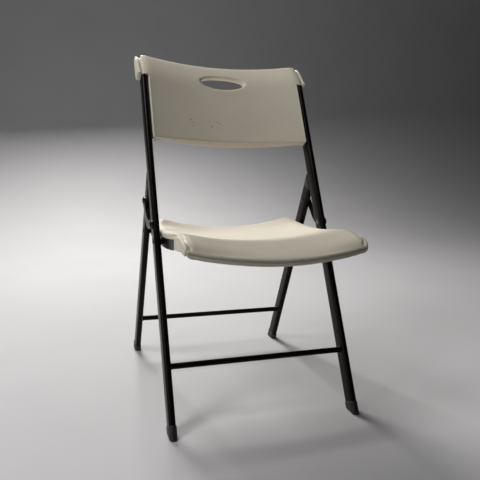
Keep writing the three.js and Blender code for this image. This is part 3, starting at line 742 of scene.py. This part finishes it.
        # tabs behind the tube
        for lo, hi in ((745.0, 785.0), (882.0, 930.0)):
            x0, x1 = (206.0, 232.0) if sg > 0 else (-232.0, -206.0)
            sh.add_bm(block_bm((x0, lo, 20.1), (x1, hi, 26.8), 2.8, 4))
            x0, x1 = (204.0, 216.5) if sg > 0 else (-216.5, -204.0)
            sh.add_bm(block_bm((x0, lo + 0.5, -4.0), (x1, hi - 0.5, 26.4), 2.6, 4))
    return piece("back_shell", sh, front_pt, "front_frame", ["backrest"], M_BACK, 42)


back_obj = build_back()

# screws that hold the back to the tubes, seen from behind: domed heads with a cross recess
def screw_head(fn, x, s, n0, body, name, nodes, axis="n", r=4.6, h=2.4):
    """domed head with a cross recess; axis n points to the rear, z points down"""
    bm = bmesh.new()
    seg = 32
    prof = [(r, 0.0), (r, 0.35), (0.93 * r, 0.8), (0.78 * r, 1.35), (0.58 * r, 1.85), (0.36 * r, 2.2), (0.12 * r, 2.35)]
    rows = []
    for pr, ph in prof:
        row = []
        for i in range(seg):
            a = 2 * math.pi * i / seg
            k = pr
            z = ph * h / 2.35
            # cross recess pressed into the dome
            ca, sa = abs(math.cos(a)) * k, abs(math.sin(a)) * k
            arm = min(ca, sa)
            if k < 0.62 * r:
                z -= 1.1 * max(0.0, 1 - (arm / 0.62) ** 2) * (1 - (k / (0.62 * r)) ** 4)
            row.append((k * math.cos(a), k * math.sin(a), z))
        rows.append(row)
    v = [p for row in rows for p in row]
    f = []
    for j in range(len(rows) - 1):
        for i in range(seg):
            i2 = (i + 1) % seg
            f.append((j * seg + i, j * seg + i2, (j + 1) * seg + i2, (j + 1) * seg + i))
    f.append(tuple((len(rows) - 1) * seg + i for i in range(seg)))
    f.append(tuple(reversed(range(seg))))
    bm.free()
    if axis == "n":
        v = [(x + a, s + b, n0 + c) for a, b, c in v]
    else:
        v = [(x + a, s + b, n0 - c) for a, b, c in v]
    return piece(name, Shells().add(v, f), fn, body, nodes, M_RIVET, 40)


for side, sg in SIDES:
    screw_head(front_pt, sg * TX, 765.0, 26.9, "front_frame", f"back_fixing_lower_{side}", [f"back_screw_lower_{side}"])
    screw_head(front_pt, sg * TX, 898.0, 26.9, "front_frame", f"back_fixing_upper_{side}", [f"back_screw_upper_{side}"])

# ----------------------------------------------------------------------- seat
SEAT_MID = [(-56, 404), (-48, 408.4), (-30, 414.4), (-5, 420.3), (15, 423.8), (30, 425.4), (40, 425.7), (52, 424.8), (75, 422.2), (110, 417), (170, 409.5), (230, 405), (290, 404), (340, 406), (376, 409)]
SEAT_SIDE = [(-56, 415), (-44, 420), (-37, 426), (-30, 432.5), (-22, 437.5), (-11, 441.8), (3, 445.0), (16, 446.8), (30, 447.5), (60, 445.6), (91, 441.8), (119, 437.4), (146, 433.0), (196, 426.2), (254, 422.0), (299, 421.4), (335, 423.2), (356, 428.4), (376, 434)]
ARM_TOP = [(30, 437.5), (62, 431.5), (100, 424.5), (140, 419), (175, 415.3), (213, 412.9), (260, 412.6), (400, 412.6)]
ARM_BOT = [(30, 413.5), (62, 407.8), (100, 400.6), (140, 395), (175, 391.2), (213, 388.8), (260, 388.6), (400, 388.6)]
HALF = [(-56, 203), (-44, 210), (-30, 214), (-15, 215), (300, 215), (330, 212.5), (352, 207), (366, 200), (376, 190)]
PLUG = [(-60, 417), (-38, 416.0), (-32, 414.2), (-24, 414.4), (-15, 416.6), (-6, 417.2), (6, 416.0), (20, 413.8), (40, 411.0), (62, 407.8)]


def half_at(y):
    return table(HALF, y)


def seat_z(x, y):
    q = np.minimum(np.abs(x) / half_at(y), 1.0)
    m, s = table(SEAT_MID, y), table(SEAT_SIDE, y)
    crown = np.minimum(q / 0.9, 1.0) ** 2.1
    z = m + (s - m) * crown
    # rim: a soft shoulder all along, rounder at the front corners
    deep = 1 - smooth01((y - 10.0) / 50.0)
    u = np.clip((np.abs(x) - 204.5) / 11.0, 0, 1.2)
    return z - (1.2 + 3.0 * deep) * u ** 2


def build_seat():
    # plan outline of the moulding, sampled finely, as four joined sides
    def front_y(x):
        u = np.clip(np.abs(x) / 212.0, 0, 1)
        return -56 + 18.0 * u * u

    # right half from the front middle to the rear middle
    xs = np.linspace(0, 207.0, 104)
    pts = [(float(a), float(front_y(a))) for a in xs]
    # rounded front corner
    p0 = np.array(pts[-1])
    p3 = np.array([215.0, -23.0])
    p1 = p0 + np.array([5.8, 1.0])
    p2 = p3 - np.array([0.7, 9.0])
    for t in np.linspace(0, 1, 26)[1:]:
        b = (1 - t) ** 3 * p0 + 3 * (1 - t) ** 2 * t * p1 + 3 * (1 - t) * t * t * p2 + t ** 3 * p3
        pts.append((float(b[0]), float(b[1])))
    for y in np.linspace(-23, 300, 160)[1:]:
        pts.append((215.0, float(y)))
    q0, q3 = np.array([215.0, 300.0]), np.array([178.0, 375.5])
    q1, q2 = q0 + np.array([0, 42.0]), q3 + np.array([24.0, -0.6])
    for t in np.linspace(0, 1, 50)[1:]:
        b = (1 - t) ** 3 * q0 + 3 * (1 - t) ** 2 * t * q1 + 3 * (1 - t) * t * t * q2 + t ** 3 * q3
        pts.append((float(b[0]), float(b[1])))
    for a in np.linspace(178, 0, 60)[1:]:
        pts.append((float(a), 375.5))
    half = np.array(pts)
    cum = np.concatenate([[0], np.cumsum(np.hypot(*np.diff(half, axis=0).T))])

    def at(l):
        return np.stack([np.interp(l, cum, half[:, 0]), np.interp(l, cum, half[:, 1])], 1)

    # where the grid's corners fall on the outline
    i_fc = np.argmin(np.abs(half[:, 1] + 31.0) + 1000 * (half[:, 0] < 190) + 1000 * (half[:, 1] > 0))
    l_fc = cum[i_fc]
    i_rc = np.argmin(np.hypot(half[:, 0] - 204.5, half[:, 1] - 356.0))
    l_rc, l_end = cum[i_rc], cum[-1]

    # columns across: fine in the outer 34 mm
    inner = np.linspace(0, l_fc - 34.0, 24)
    outer = l_fc - np.array(list(np.linspace(34.0, 3.6, 24)[1:]) + [2.7, 1.9, 0.0])
    lc = np.concatenate([inner, outer])
    f_half = at(lc)
    fr = np.concatenate([f_half[::-1] * [-1, 1], f_half[1:]])          # left to right
    # rows front to rear along the side: fine to y=66, with a step at the plug's end
    y_marks = list(np.linspace(-28.5, 60.9, 52)) + [61.2, 62.3] + list(np.linspace(65, 352, 46))
    side_l = [l_fc] + [float(np.interp(y, half[i_fc:i_rc + 1, 1], cum[i_fc:i_rc + 1])) for y in y_marks if y > half[i_fc, 1] + 0.4 and y < half[i_rc, 1] - 1.0] + [l_rc]
    sr = at(np.array(side_l))
    sl = sr * [-1, 1]
    # rear, matched to the columns
    frac = (lc / l_fc)
    rr_l = l_end - frac * (l_end - l_rc)
    r_half = at(rr_l)
    rr = np.concatenate([r_half[::-1] * [-1, 1], r_half[1:]])
    nu, nv = len(fr), len(sr)

    # closed boundary loop, counter-clockwise seen from above: front, right, rear back, left down
    loop_ij = [(i, 0) for i in range(nu)] + [(nu - 1, j) for j in range(1, nv)] + [(i, nv - 1) for i in range(nu - 2, -1, -1)] + [(0, j) for j in range(nv - 2, 0, -1)]
    loop = np.array([fr[i] if j == 0 else (sr[j] if i == nu - 1 else (rr[i] if j == nv - 1 else sl[j])) for i, j in loop_ij])
    t = np.roll(loop, -1, 0) - np.roll(loop, 1, 0)
    t /= np.hypot(t[:, 0], t[:, 1])[:, None]
    nor = np.stack([t[:, 1], -t[:, 0]], 1)
    for _ in range(2):
        nor = 0.25 * np.roll(nor, 1, 0) + 0.5 * nor + 0.25 * np.roll(nor, -1, 0)
        nor /= np.hypot(nor[:, 0], nor[:, 1])[:, None]
    L = len(loop)
    y_of, ax = loop[:, 1], np.abs(loop[:, 0])
    # how much each rim point belongs to the front, the sides or the rear
    wf = smooth01((-nor[:, 1] - 0.35) / 0.5)
    wr = smooth01((nor[:, 1] - 0.35) / 0.5)
    ws = 1 - wf - wr
    front = [(6.5, 3.0), (3.6, 1.9), (1.6, .5), (.7, -1.2), (1.2, -2.9), (2.7, -4.3), (3.9, -5.2), (3.6, -6.1), (2.0, -6.8), (.6, -7.7), (0, -9.2), (.1, -12.1), (.9, -13.9), (2.6, -14.8), (6.5, -15)]
    K = len(front)
    z_in = seat_z(loop[:, 0] - nor[:, 0] * 6.5, loop[:, 1] - nor[:, 1] * 6.5)
    z_rim = seat_z(loop[:, 0], loop[:, 1])
    # sides: rounded rim, band, rounded lower edge
    zb_side = np.where(y_of < 61.7, table(PLUG, y_of), table(ARM_TOP, y_of) + 0.6)
    rim_r = 5.0
    side_in = [6.5, 4.3, 2.2, .7, .12, 0, 0, 0, 0, 0, 0, 0, .3, 1.4, 6.5]
    side_dz = [0, -.25, -.95, -2.5, -4.2]
    rows_xy, rows_z = [], []
    for k in range(K):
        inset = wf * front[k][0] + ws * side_in[k]
        rear_in = [6.5, 4.4, 2.4, .9, .15, 0, 0, 0, 0, 0, .1, .7, 2.0, 4.0, 6.5][k]
        inset = inset + wr * rear_in + 4 * wf * ws * 4.0 * smooth01((k - 4) / 7.0)
        zf = z_rim + front[k][1] * (1 - 0.42 * smooth01((ax - 202.0) / 11.0) * smooth01((k - 3) / 6.0))
        if k == 0:
            zf = z_in
        if k < 5:
            zs = z_in + side_dz[k]
        else:
            a = (k - 4) / 8.0
            zs = (z_in - 4.2) * (1 - min(a, 1)) + (zb_side + 0.9) * min(a, 1)
            if k == 13:
                zs = zb_side + 0.15
            if k == 14:
                zs = zb_side
        rd = [0, -.2, -.8, -2.1, -4.0, -6, -8, -10, -12, -14, -16, -17.6, -18.9, -19.7, -20][k]
        zr = z_in + rd
        rows_xy.append(loop - nor * inset[:, None])
        rows_z.append(wf * zf + ws * zs + wr * zr)
    top_b, bot_b = rows_xy[0], rows_xy[-1]

    def coons(boundary):
        F = np.array([boundary[k] for k in range(nu)])
        Rt = np.array([boundary[nu - 1 + k] for k in range(nv)])
        B = np.array([boundary[nu - 1 + nv - 1 + k] for k in range(nu)])[::-1]
        Lf = [boundary[0]] + [boundary[L - k] for k in range(1, nv)]
        Lf = np.array(Lf)
        u = (F[:, 0] - F[0, 0]) / (F[-1, 0] - F[0, 0])
        v = (Rt[:, 1] - Rt[0, 1]) / (Rt[-1, 1] - Rt[0, 1])
        U, V = u[:, None, None], v[None, :, None]
        S = (1 - V) * F[:, None, :] + V * B[:, None, :] + (1 - U) * Lf[None] + U * Rt[None]
        S -= (1 - U) * (1 - V) * F[0] + U * (1 - V) * F[-1] + (1 - U) * V * B[0] + U * V * B[-1]
        return S

    top = coons(top_b)
    zt = seat_z(top[..., 0].ravel(), top[..., 1].ravel()).reshape(nu, nv)
    bot = coons(bot_b)
    bx, by = bot[..., 0], bot[..., 1]
    # distance from the outline, for the flanges underneath
    flat = np.stack([bx.ravel(), by.ravel()], 1)
    ring = np.concatenate([half, (half * [-1, 1])[::-1]])
    d = np.full(len(flat), 1e9)
    for a, b in zip(ring[:-1], ring[1:]):
        ab_ = b - a
        l2 = max(float(ab_ @ ab_), 1e-9)
        k = np.clip(((flat - a) @ ab_) / l2, 0, 1)
        d = np.minimum(d, np.hypot(*(flat - a - k[:, None] * ab_).T))
    d = d.reshape(nu, nv)
    thick = table([(-56, 15), (-30, 17), (10, 20), (376, 20)], by.ravel()).reshape(nu, nv)
    inner_z = seat_z(bx.ravel(), by.ravel()).reshape(nu, nv) - thick
    side_b = np.where(by < 61.7, table(PLUG, by.ravel()).reshape(nu, nv), table(ARM_TOP, by.ravel()).reshape(nu, nv) + 0.6)
    front_b = seat_z(bx.ravel(), front_y(bx.ravel())).reshape(nu, nv) - 15 * (1 - 0.42 * smooth01((np.abs(bx) - 202.0) / 11.0))
    side_d = 215.0 - np.abs(bx)
    front_d = by - front_y(bx)
    wside = 1 - smooth01((side_d - 7.2) / 1.6)
    wfront = 1 - smooth01((front_d - 11.0) / 9.0)
    zbm = inner_z * (1 - wfront) + np.minimum(front_b, inner_z) * wfront
    zbm = zbm * (1 - wside) + side_b * wside
    V = []
    idx_top = np.arange(nu * nv).reshape(nu, nv)
    for i in range(nu):
        for j in range(nv):
            V.append((top[i, j, 0], top[i, j, 1], zt[i, j]))
    idx_bot = nu * nv + np.arange(nu * nv).reshape(nu, nv)
    for i in range(nu):
        for j in range(nv):
            V.append((bx[i, j], by[i, j], zbm[i, j]))
    base = len(V)
    for k in range(1, K - 1):
        for p, z in zip(rows_xy[k], rows_z[k]):
            V.append((p[0], p[1], z))
    # the grids' own edges take the rim rows' heights
    for q, (i, j) in enumerate(loop_ij):
        V[idx_top[i, j]] = (rows_xy[0][q][0], rows_xy[0][q][1], rows_z[0][q])
        V[idx_bot[i, j]] = (rows_xy[-1][q][0], rows_xy[-1][q][1], rows_z[-1][q])
    F = []
    for i in range(nu - 1):
        for j in range(nv - 1):
            F.append((idx_top[i, j], idx_top[i + 1, j], idx_top[i + 1, j + 1], idx_top[i, j + 1]))
            F.append((idx_bot[i, j], idx_bot[i, j + 1], idx_bot[i + 1, j + 1], idx_bot[i + 1, j]))

    def row(k, q):
        q %= L
        if k == 0:
            return idx_top[loop_ij[q]]
        if k == K - 1:
            return idx_bot[loop_ij[q]]
        return base + (k - 1) * L + q

    for k in range(K - 1):
        for q in range(L):
            F.append((row(k, q), row(k + 1, q), row(k + 1, q + 1), row(k, q + 1)))
    V = np.array(V, float)
    F = [tuple(int(c) for c in f) for f in F]
    # ---- pressed-in groove that runs from the side band over the rim and down the front corner
    me = bpy.data.meshes.new("tmp_seat")
    me.from_pydata(V.tolist(), [], F)
    bm = bmesh.new()
    bm.from_mesh(me)
    bmesh.ops.recalc_face_normals(bm, faces=bm.faces[:])
    bm.normal_update()
    nrm = np.array([tuple(v.normal) for v in bm.verts])
    bm.free()
    bpy.data.meshes.remove(me)
    ridge = np.array([(215.2, 63.0, 433.6), (215.2, 50, 438.0), (215.0, 36, 440.4), (214.2, 20, 440.8), (213.2, 6, 439.4), (212.0, -9, 435.2), (210.2, -22, 430.0), (207.6, -31, 426.2), (203.6, -38.5, 424.8), (199.0, -42.5, 428.0)], float)
    groove = np.array([(217.5, 80, 436.0), (217.0, 62, 439.6), (215.4, 49, 443.8), (212.2, 35, 445.2), (209.4, 20, 445.0), (208.2, 5, 442.4), (207.2, -9, 438.0), (205.4, -22, 433.0), (202.0, -32, 429.0)], float)

    def near_path(path, sg):
        tt = np.linspace(0, len(path) - 1, 70)
        pp = np.stack([table(list(enumerate(path[:, c])), tt) for c in range(3)], 1) * [sg, 1, 1]
        dist, arc = np.full(len(V), 1e9), np.zeros(len(V))
        for m_, (a, b) in enumerate(zip(pp[:-1], pp[1:])):
            ab_ = b - a
            k = np.clip(((V - a) @ ab_) / float(ab_ @ ab_), 0, 1)
            dd = np.linalg.norm(V - a - k[:, None] * ab_, axis=1)
            near = dd < dist
            dist = np.where(near, dd, dist)
            arc = np.where(near, (m_ + k) / (len(pp) - 1), arc)
        return dist, arc

    for sg in (-1, 1):
        dr, ar = near_path(ridge, sg)
        dg, ag = near_path(groove, sg)
        # the groove is pressed in along its path, and a low bead is raised along the ridge below it
        g = np.clip(1 - (dg / 5.4) ** 2, 0, 1) ** 1.4
        r_ = np.exp(-(dr / 2.0) ** 2)
        V = V - nrm * (g * (2.4 + 1.2 * smooth01((ag - 0.15) / 0.3)))[:, None] + nrm * (r_ * 0.8)[:, None]
    V[:, 0] = np.clip(V[:, 0], -215.9, 215.9)
    V[:, 1] = np.maximum(V[:, 1], -55.9)
    sh = Shells().add(V.tolist(), F)
    return piece("seat_shell", sh, level_pt, "seat", ["seat"], M_SEAT, 50)


seat_obj = build_seat()

# --------------------------------------------------------- under-seat hardware
for side, sg in SIDES:
    ys = np.linspace(60.0, Q_L[0], 50)
    pts = [(float(y), float(table(ARM_BOT, y)[0])) for y in ys]
    for i in range(1, 20):
        a = -math.pi / 2 + math.pi * i / 20
        pts.append((Q_L[0] + 12 * math.cos(a), Q_L[1] + 12 * math.sin(a)))
    pts += [(float(y), float(table(ARM_TOP, y)[0])) for y in ys[::-1]]
    x0, x1 = (ARM_IN, ARM_OUT) if sg > 0 else (-ARM_OUT, -ARM_IN)
    piece(f"seat_side_arm_{side}", Shells().add_bm(plate_bm(pts, x0, x1, 0.9, 3)), level_pt, "seat", [f"seat_arm_{side}"], M_PAINT, 40)


def under(x, y0, drop):
    xs = np.full(3, x)
    return float(np.min(seat_z(xs, np.array([y0 - 13.0, y0, y0 + 13.0])))) - 20.0 - drop


for where, y0 in (("front", 120.0), ("rear", 290.0)):
    xs = np.linspace(-208.3, 208.3, 61)
    zt_ = [under(max(-200, min(200, x)), y0, 2.2) for x in xs]
    rings = []
    w, t_ = 12.5, 3.0
    for x, z in zip(xs, zt_):
        r = 0.8
        sec = [(-w + r, 0), (w - r, 0), (w - 0.25, -0.25), (w, -r), (w, -t_ + r), (w - 0.25, -t_ + 0.25), (w - r, -t_), (-w + r, -t_), (-w + 0.25, -t_ + 0.25), (-w, -t_ + r), (-w, -r), (-w + 0.25, -0.25)]
        rings.append([(x, y0 + a, z + b) for a, b in sec])
    piece(f"under_strap_{where}", Shells().add(*loft(rings)), level_pt, "seat", [f"seat_strap_{where}"], M_PAINT, 35)
    for side, sg in SIDES:
        z = under(150.0, y0, 2.2 + 3.0) - 0.2
        screw_head(level_pt, sg * 150.0, y0, z, "seat", f"strap_fixing_{where}_{side}", [f"seat_screw_{where}_{side}"], axis="z")

# ------------------------------------------------------------------ link plates
du, dn = PIV_A[0] - PIV_B[0], PIV_A[1] - PIV_B[1]
LL = math.hypot(du, dn)
us, un = du / LL, dn / LL


def link_at(a, b):
    return (PIV_B[0] + a * us - b * un, PIV_B[1] + a * un + b * us)


def link_outline():
    mid = np.array([(0, 0), (18, 13), (37, 20), (60, 18), (86, 9), (LL, 0)], float)
    hw = np.array([11.5, 10.9, 10.5, 10.3, 10.7, 11.5])
    tt = np.linspace(0, 5, 49)
    c = np.stack([table(list(enumerate(mid[:, k])), tt) for k in (0, 1)], 1)
    w = table(list(enumerate(hw)), tt)
    tan = np.gradient(c, axis=0)
    tan /= np.hypot(tan[:, 0], tan[:, 1])[:, None]
    nn = np.stack([-tan[:, 1], tan[:, 0]], 1)
    lo = c - nn * w[:, None]
    hi = c + nn * w[:, None]
    pts = [tuple(p) for p in lo]
    a0 = math.atan2(-nn[-1][1], -nn[-1][0])
    for i in range(1, 18):
        a = a0 + math.pi * i / 18
        pts.append((c[-1][0] + 11.5 * math.cos(a), c[-1][1] + 11.5 * math.sin(a)))
    pts += [tuple(p) for p in hi[::-1]]
    a0 = math.atan2(nn[0][1], nn[0][0])
    for i in range(1, 18):
        a = a0 + math.pi * i / 18
        pts.append((c[0][0] + 11.5 * math.cos(a), c[0][1] + 11.5 * math.sin(a)))
    return [link_at(a, b) for a, b in pts]


for side, sg in SIDES:
    x0, x1 = (LINK_IN, LINK_OUT) if sg > 0 else (-LINK_OUT, -LINK_IN)
    piece(f"fold_link_{side}", Shells().add_bm(plate_bm(link_outline(), x0, x1, 0.7, 3)), front_pt, f"link_{side}", [f"link_plate_{side}"], M_PAINT, 40)


# ---------------------------------------------------------------- pivots
def dome(x_face, r, h, out):
    """rivet head from its face outwards, profile points from rim to axis"""
    return [(x_face, r - 0.15), (x_face + out * 0.15, r), (x_face + out * 0.35 * h, r), (x_face + out * 0.62 * h, 0.90 * r),
            (x_face + out * 0.82 * h, 0.70 * r), (x_face + out * 0.95 * h, 0.42 * r), (x_face + out * h, 0.18 * r), (x_face + out * h, 0.0)]


def rivet(sg, x_in, x_out, r_in, r_out, h_in, h_out, shank=4.0):
    """double-headed rivet between two faces, x from inside to outside"""
    a = dome(x_in, r_in, h_in, -1)[::-1]
    b = dome(x_out, r_out, h_out, 1)
    return mirror(a + [(x_in, shank), (x_out, shank)] + b, sg)


for side, sg in SIDES:
    piece(f"seat_rivet_{side}", Shells().add(*lathe_x(rivet(sg, ARM_IN - 0.1, TOUT + 0.1, 6.4, 6.8, 2.1, 2.0), *PIV_P)),
          front_pt, "front_frame", [f"seat_pivot_pin_{side}"], M_RIVET, 40)
    x0, x1 = sorted((sg * (ARM_OUT + 0.2), sg * (TIN - 0.2)))
    piece(f"seat_bush_{side}", Shells().add(*ring_x(x0, x1, 4.3, 8.0, *PIV_P, ch=0.5)), front_pt, "front_frame", [f"seat_pivot_bush_{side}"], M_BLACK, 40)
    piece(f"link_rivet_lower_{side}", Shells().add(*lathe_x(rivet(sg, TIN - 0.1, LINK_OUT + 0.15, 6.4, 6.8, 1.9, 2.5), *PIV_B)),
          front_pt, "front_frame", [f"link_lower_pin_{side}"], M_PIN, 40)
    # two thin washers make the spacer under the link
    x0, x1 = sorted((sg * (TOUT + 0.2), sg * (LINK_IN - 0.2)))
    xm = (x0 + x1) / 2
    sh = Shells().add(*ring_x(x0, xm - 0.12, 4.2, 9.0, *PIV_B, ch=0.3)).add(*ring_x(xm + 0.12, x1, 4.2, 8.2, *PIV_B, ch=0.3))
    piece(f"link_spacer_lower_{side}", sh, front_pt, "front_frame", [f"link_lower_washer_{side}"], M_ZINC, 40)
    piece(f"rear_rivet_{side}", Shells().add(*lathe_x(rivet(sg, ARM_IN - 0.1, TOUT + 0.1, 6.4, 6.8, 2.1, 2.0), *Q_R)),
          rear_pt, "rear_frame", [f"rear_pivot_pin_{side}"], M_RIVET, 40)
    x0, x1 = sorted((sg * (ARM_OUT + 0.2), sg * (TIN - 0.2)))
    piece(f"rear_bush_{side}", Shells().add(*ring_x(x0, x1, 4.3, 8.0, *Q_R, ch=0.5)), rear_pt, "rear_frame", [f"rear_pivot_bush_{side}"], M_BLACK, 40)
    prof = [(TOUT + 0.5, 0.0), (TOUT + 0.5, 4.0), (LINK_OUT + 0.15, 4.0)] + dome(LINK_OUT + 0.15, 6.8, 2.5, 1)
    piece(f"link_rivet_upper_{side}", Shells().add(*lathe_x(mirror(prof, sg), *PIV_A)), front_pt, f"link_{side}", [f"link_upper_rivet_{side}"], M_RIVET, 40)
    x0, x1 = sorted((sg * (TOUT + 0.5), sg * (LINK_IN - 0.2)))
    piece(f"link_spacer_upper_{side}", Shells().add(*ring_x(x0, x1, 4.2, 9.0, *PIV_A, ch=0.3)), front_pt, f"link_{side}", [f"link_upper_washer_{side}"], M_ZINC, 40)
    prof = dome(TIN - 0.1, 6.4, 1.9, -1)[::-1] + [(TIN - 0.1, 4.0), (TOUT - 0.1, 4.0), (TOUT - 0.1, 0.0)]
    piece(f"leg_rivet_{side}", Shells().add(*lathe_x(mirror(prof, sg), *A_R)), rear_pt, "rear_frame", [f"leg_upper_rivet_{side}"], M_RIVET, 40)


# ---------------------------------------------------------------- surroundings
def stage_mesh():
    me = bpy.data.meshes.new("stage_floor")
    rows = []
    # floor that sweeps up into a backdrop
    prof = [(-6.0, 0.0), (1.6, 0.0)]
    for i in range(1, 17):
        a = math.pi / 2 * i / 16
        prof.append((1.6 + 2.2 * math.sin(a), 2.2 - 2.2 * math.cos(a)))
    prof.append((3.8, 9.0))
    v, f = [], []
    for y, z in prof:
        v += [(-9.0, y, z), (9.0, y, z)]
    for k in range(len(prof) - 1):
        f.append((2 * k, 2 * k + 1, 2 * k + 3, 2 * k + 2))
    me.from_pydata(v, [], f)
    m, nt, b = new_mat("pale_stage")
    co = coords(nt)
    c = ramp(nt, noise(nt, co, 3.0, 2.0), [(0.3, (0.50, 0.495, 0.51)), (0.7, (0.52, 0.515, 0.53))])
    nt.links.new(c, b.inputs["Base Color"])
    b.inputs["Roughness"].default_value = 0.9
    b.inputs["Specular IOR Level"].default_value = 0.1
    me.materials.append(m)
    me.shade_smooth()
    ob = bpy.data.objects.new("stage_floor", me)
    bpy.context.scene.collection.objects.link(ob)
    return ob


stage_mesh()


def area(name, loc, target, size, power, color=(1, 1, 1), size_y=None):
    li = bpy.data.lights.new(name, "AREA")
    li.shape = "RECTANGLE" if size_y else "SQUARE"
    li.size = size
    if size_y:
        li.size_y = size_y
    li.energy = power
    li.color = color
    ob = bpy.data.objects.new(name, li)
    ob.location = loc
    d = Vector(target) - Vector(loc)
    ob.rotation_euler = d.to_track_quat("-Z", "Y").to_euler()
    bpy.context.scene.collection.objects.link(ob)
    return ob


area("top_soft", (-0.45, 0.45, 3.1), (0.0, 0.0, 0.5), 1.2, 15, (1.0, 0.99, 0.96))
area("behind_high", (-0.3, 2.15, 2.1), (0.0, 0.0, 0.45), 0.9, 88, (1.0, 0.985, 0.95))
area("left_high", (-1.75, -0.25, 2.45), (0.0, 0.0, 0.5), 0.8, 25, (1.0, 0.99, 0.97))
area("left_low", (-2.2, -1.1, 1.0), (0.0, 0.0, 0.5), 0.5, 8, (1.0, 0.99, 0.97))

w = bpy.data.worlds.new("studio_world")
w.use_nodes = True
bg = w.node_tree.nodes["Background"]
bg.inputs[0].default_value = (0.80, 0.79, 0.84, 1.0)
bg.inputs[1].default_value = 0.02
bpy.context.scene.world = w

# the main view, from the front and a little to the chair's left-hand side
az, el, roll = -0.332775557, 0.179592507, 0.0353386168
F = Vector((-math.sin(az) * math.cos(el), math.cos(az) * math.cos(el), -math.sin(el)))
right = Vector((math.cos(az), math.sin(az), 0.0))
up = right.cross(F)
Rv = math.cos(roll) * right + math.sin(roll) * up
Uv = -math.sin(roll) * right + math.cos(roll) * up
cam = bpy.data.cameras.new("view")
cam.sensor_width = 36.0
cam.lens = 542.749574 * 36.0 / 480.0
cam.clip_start = 0.05
cam.clip_end = 50.0
cob = bpy.data.objects.new("view", cam)
mw = Matrix.Identity(4)
for k in range(3):
    mw[k][0], mw[k][1], mw[k][2] = Rv[k], Uv[k], -F[k]
mw[0][3], mw[1][3], mw[2][3] = -0.459552726, -1.08545555 - 0.25155, 0.647704769
cob.matrix_world = mw
bpy.context.scene.collection.objects.link(cob)
bpy.context.scene.camera = cob
bpy.context.scene.view_settings.view_transform = "Standard"
bpy.context.scene.view_settings.look = "None"

bpy.context.view_layer.update()
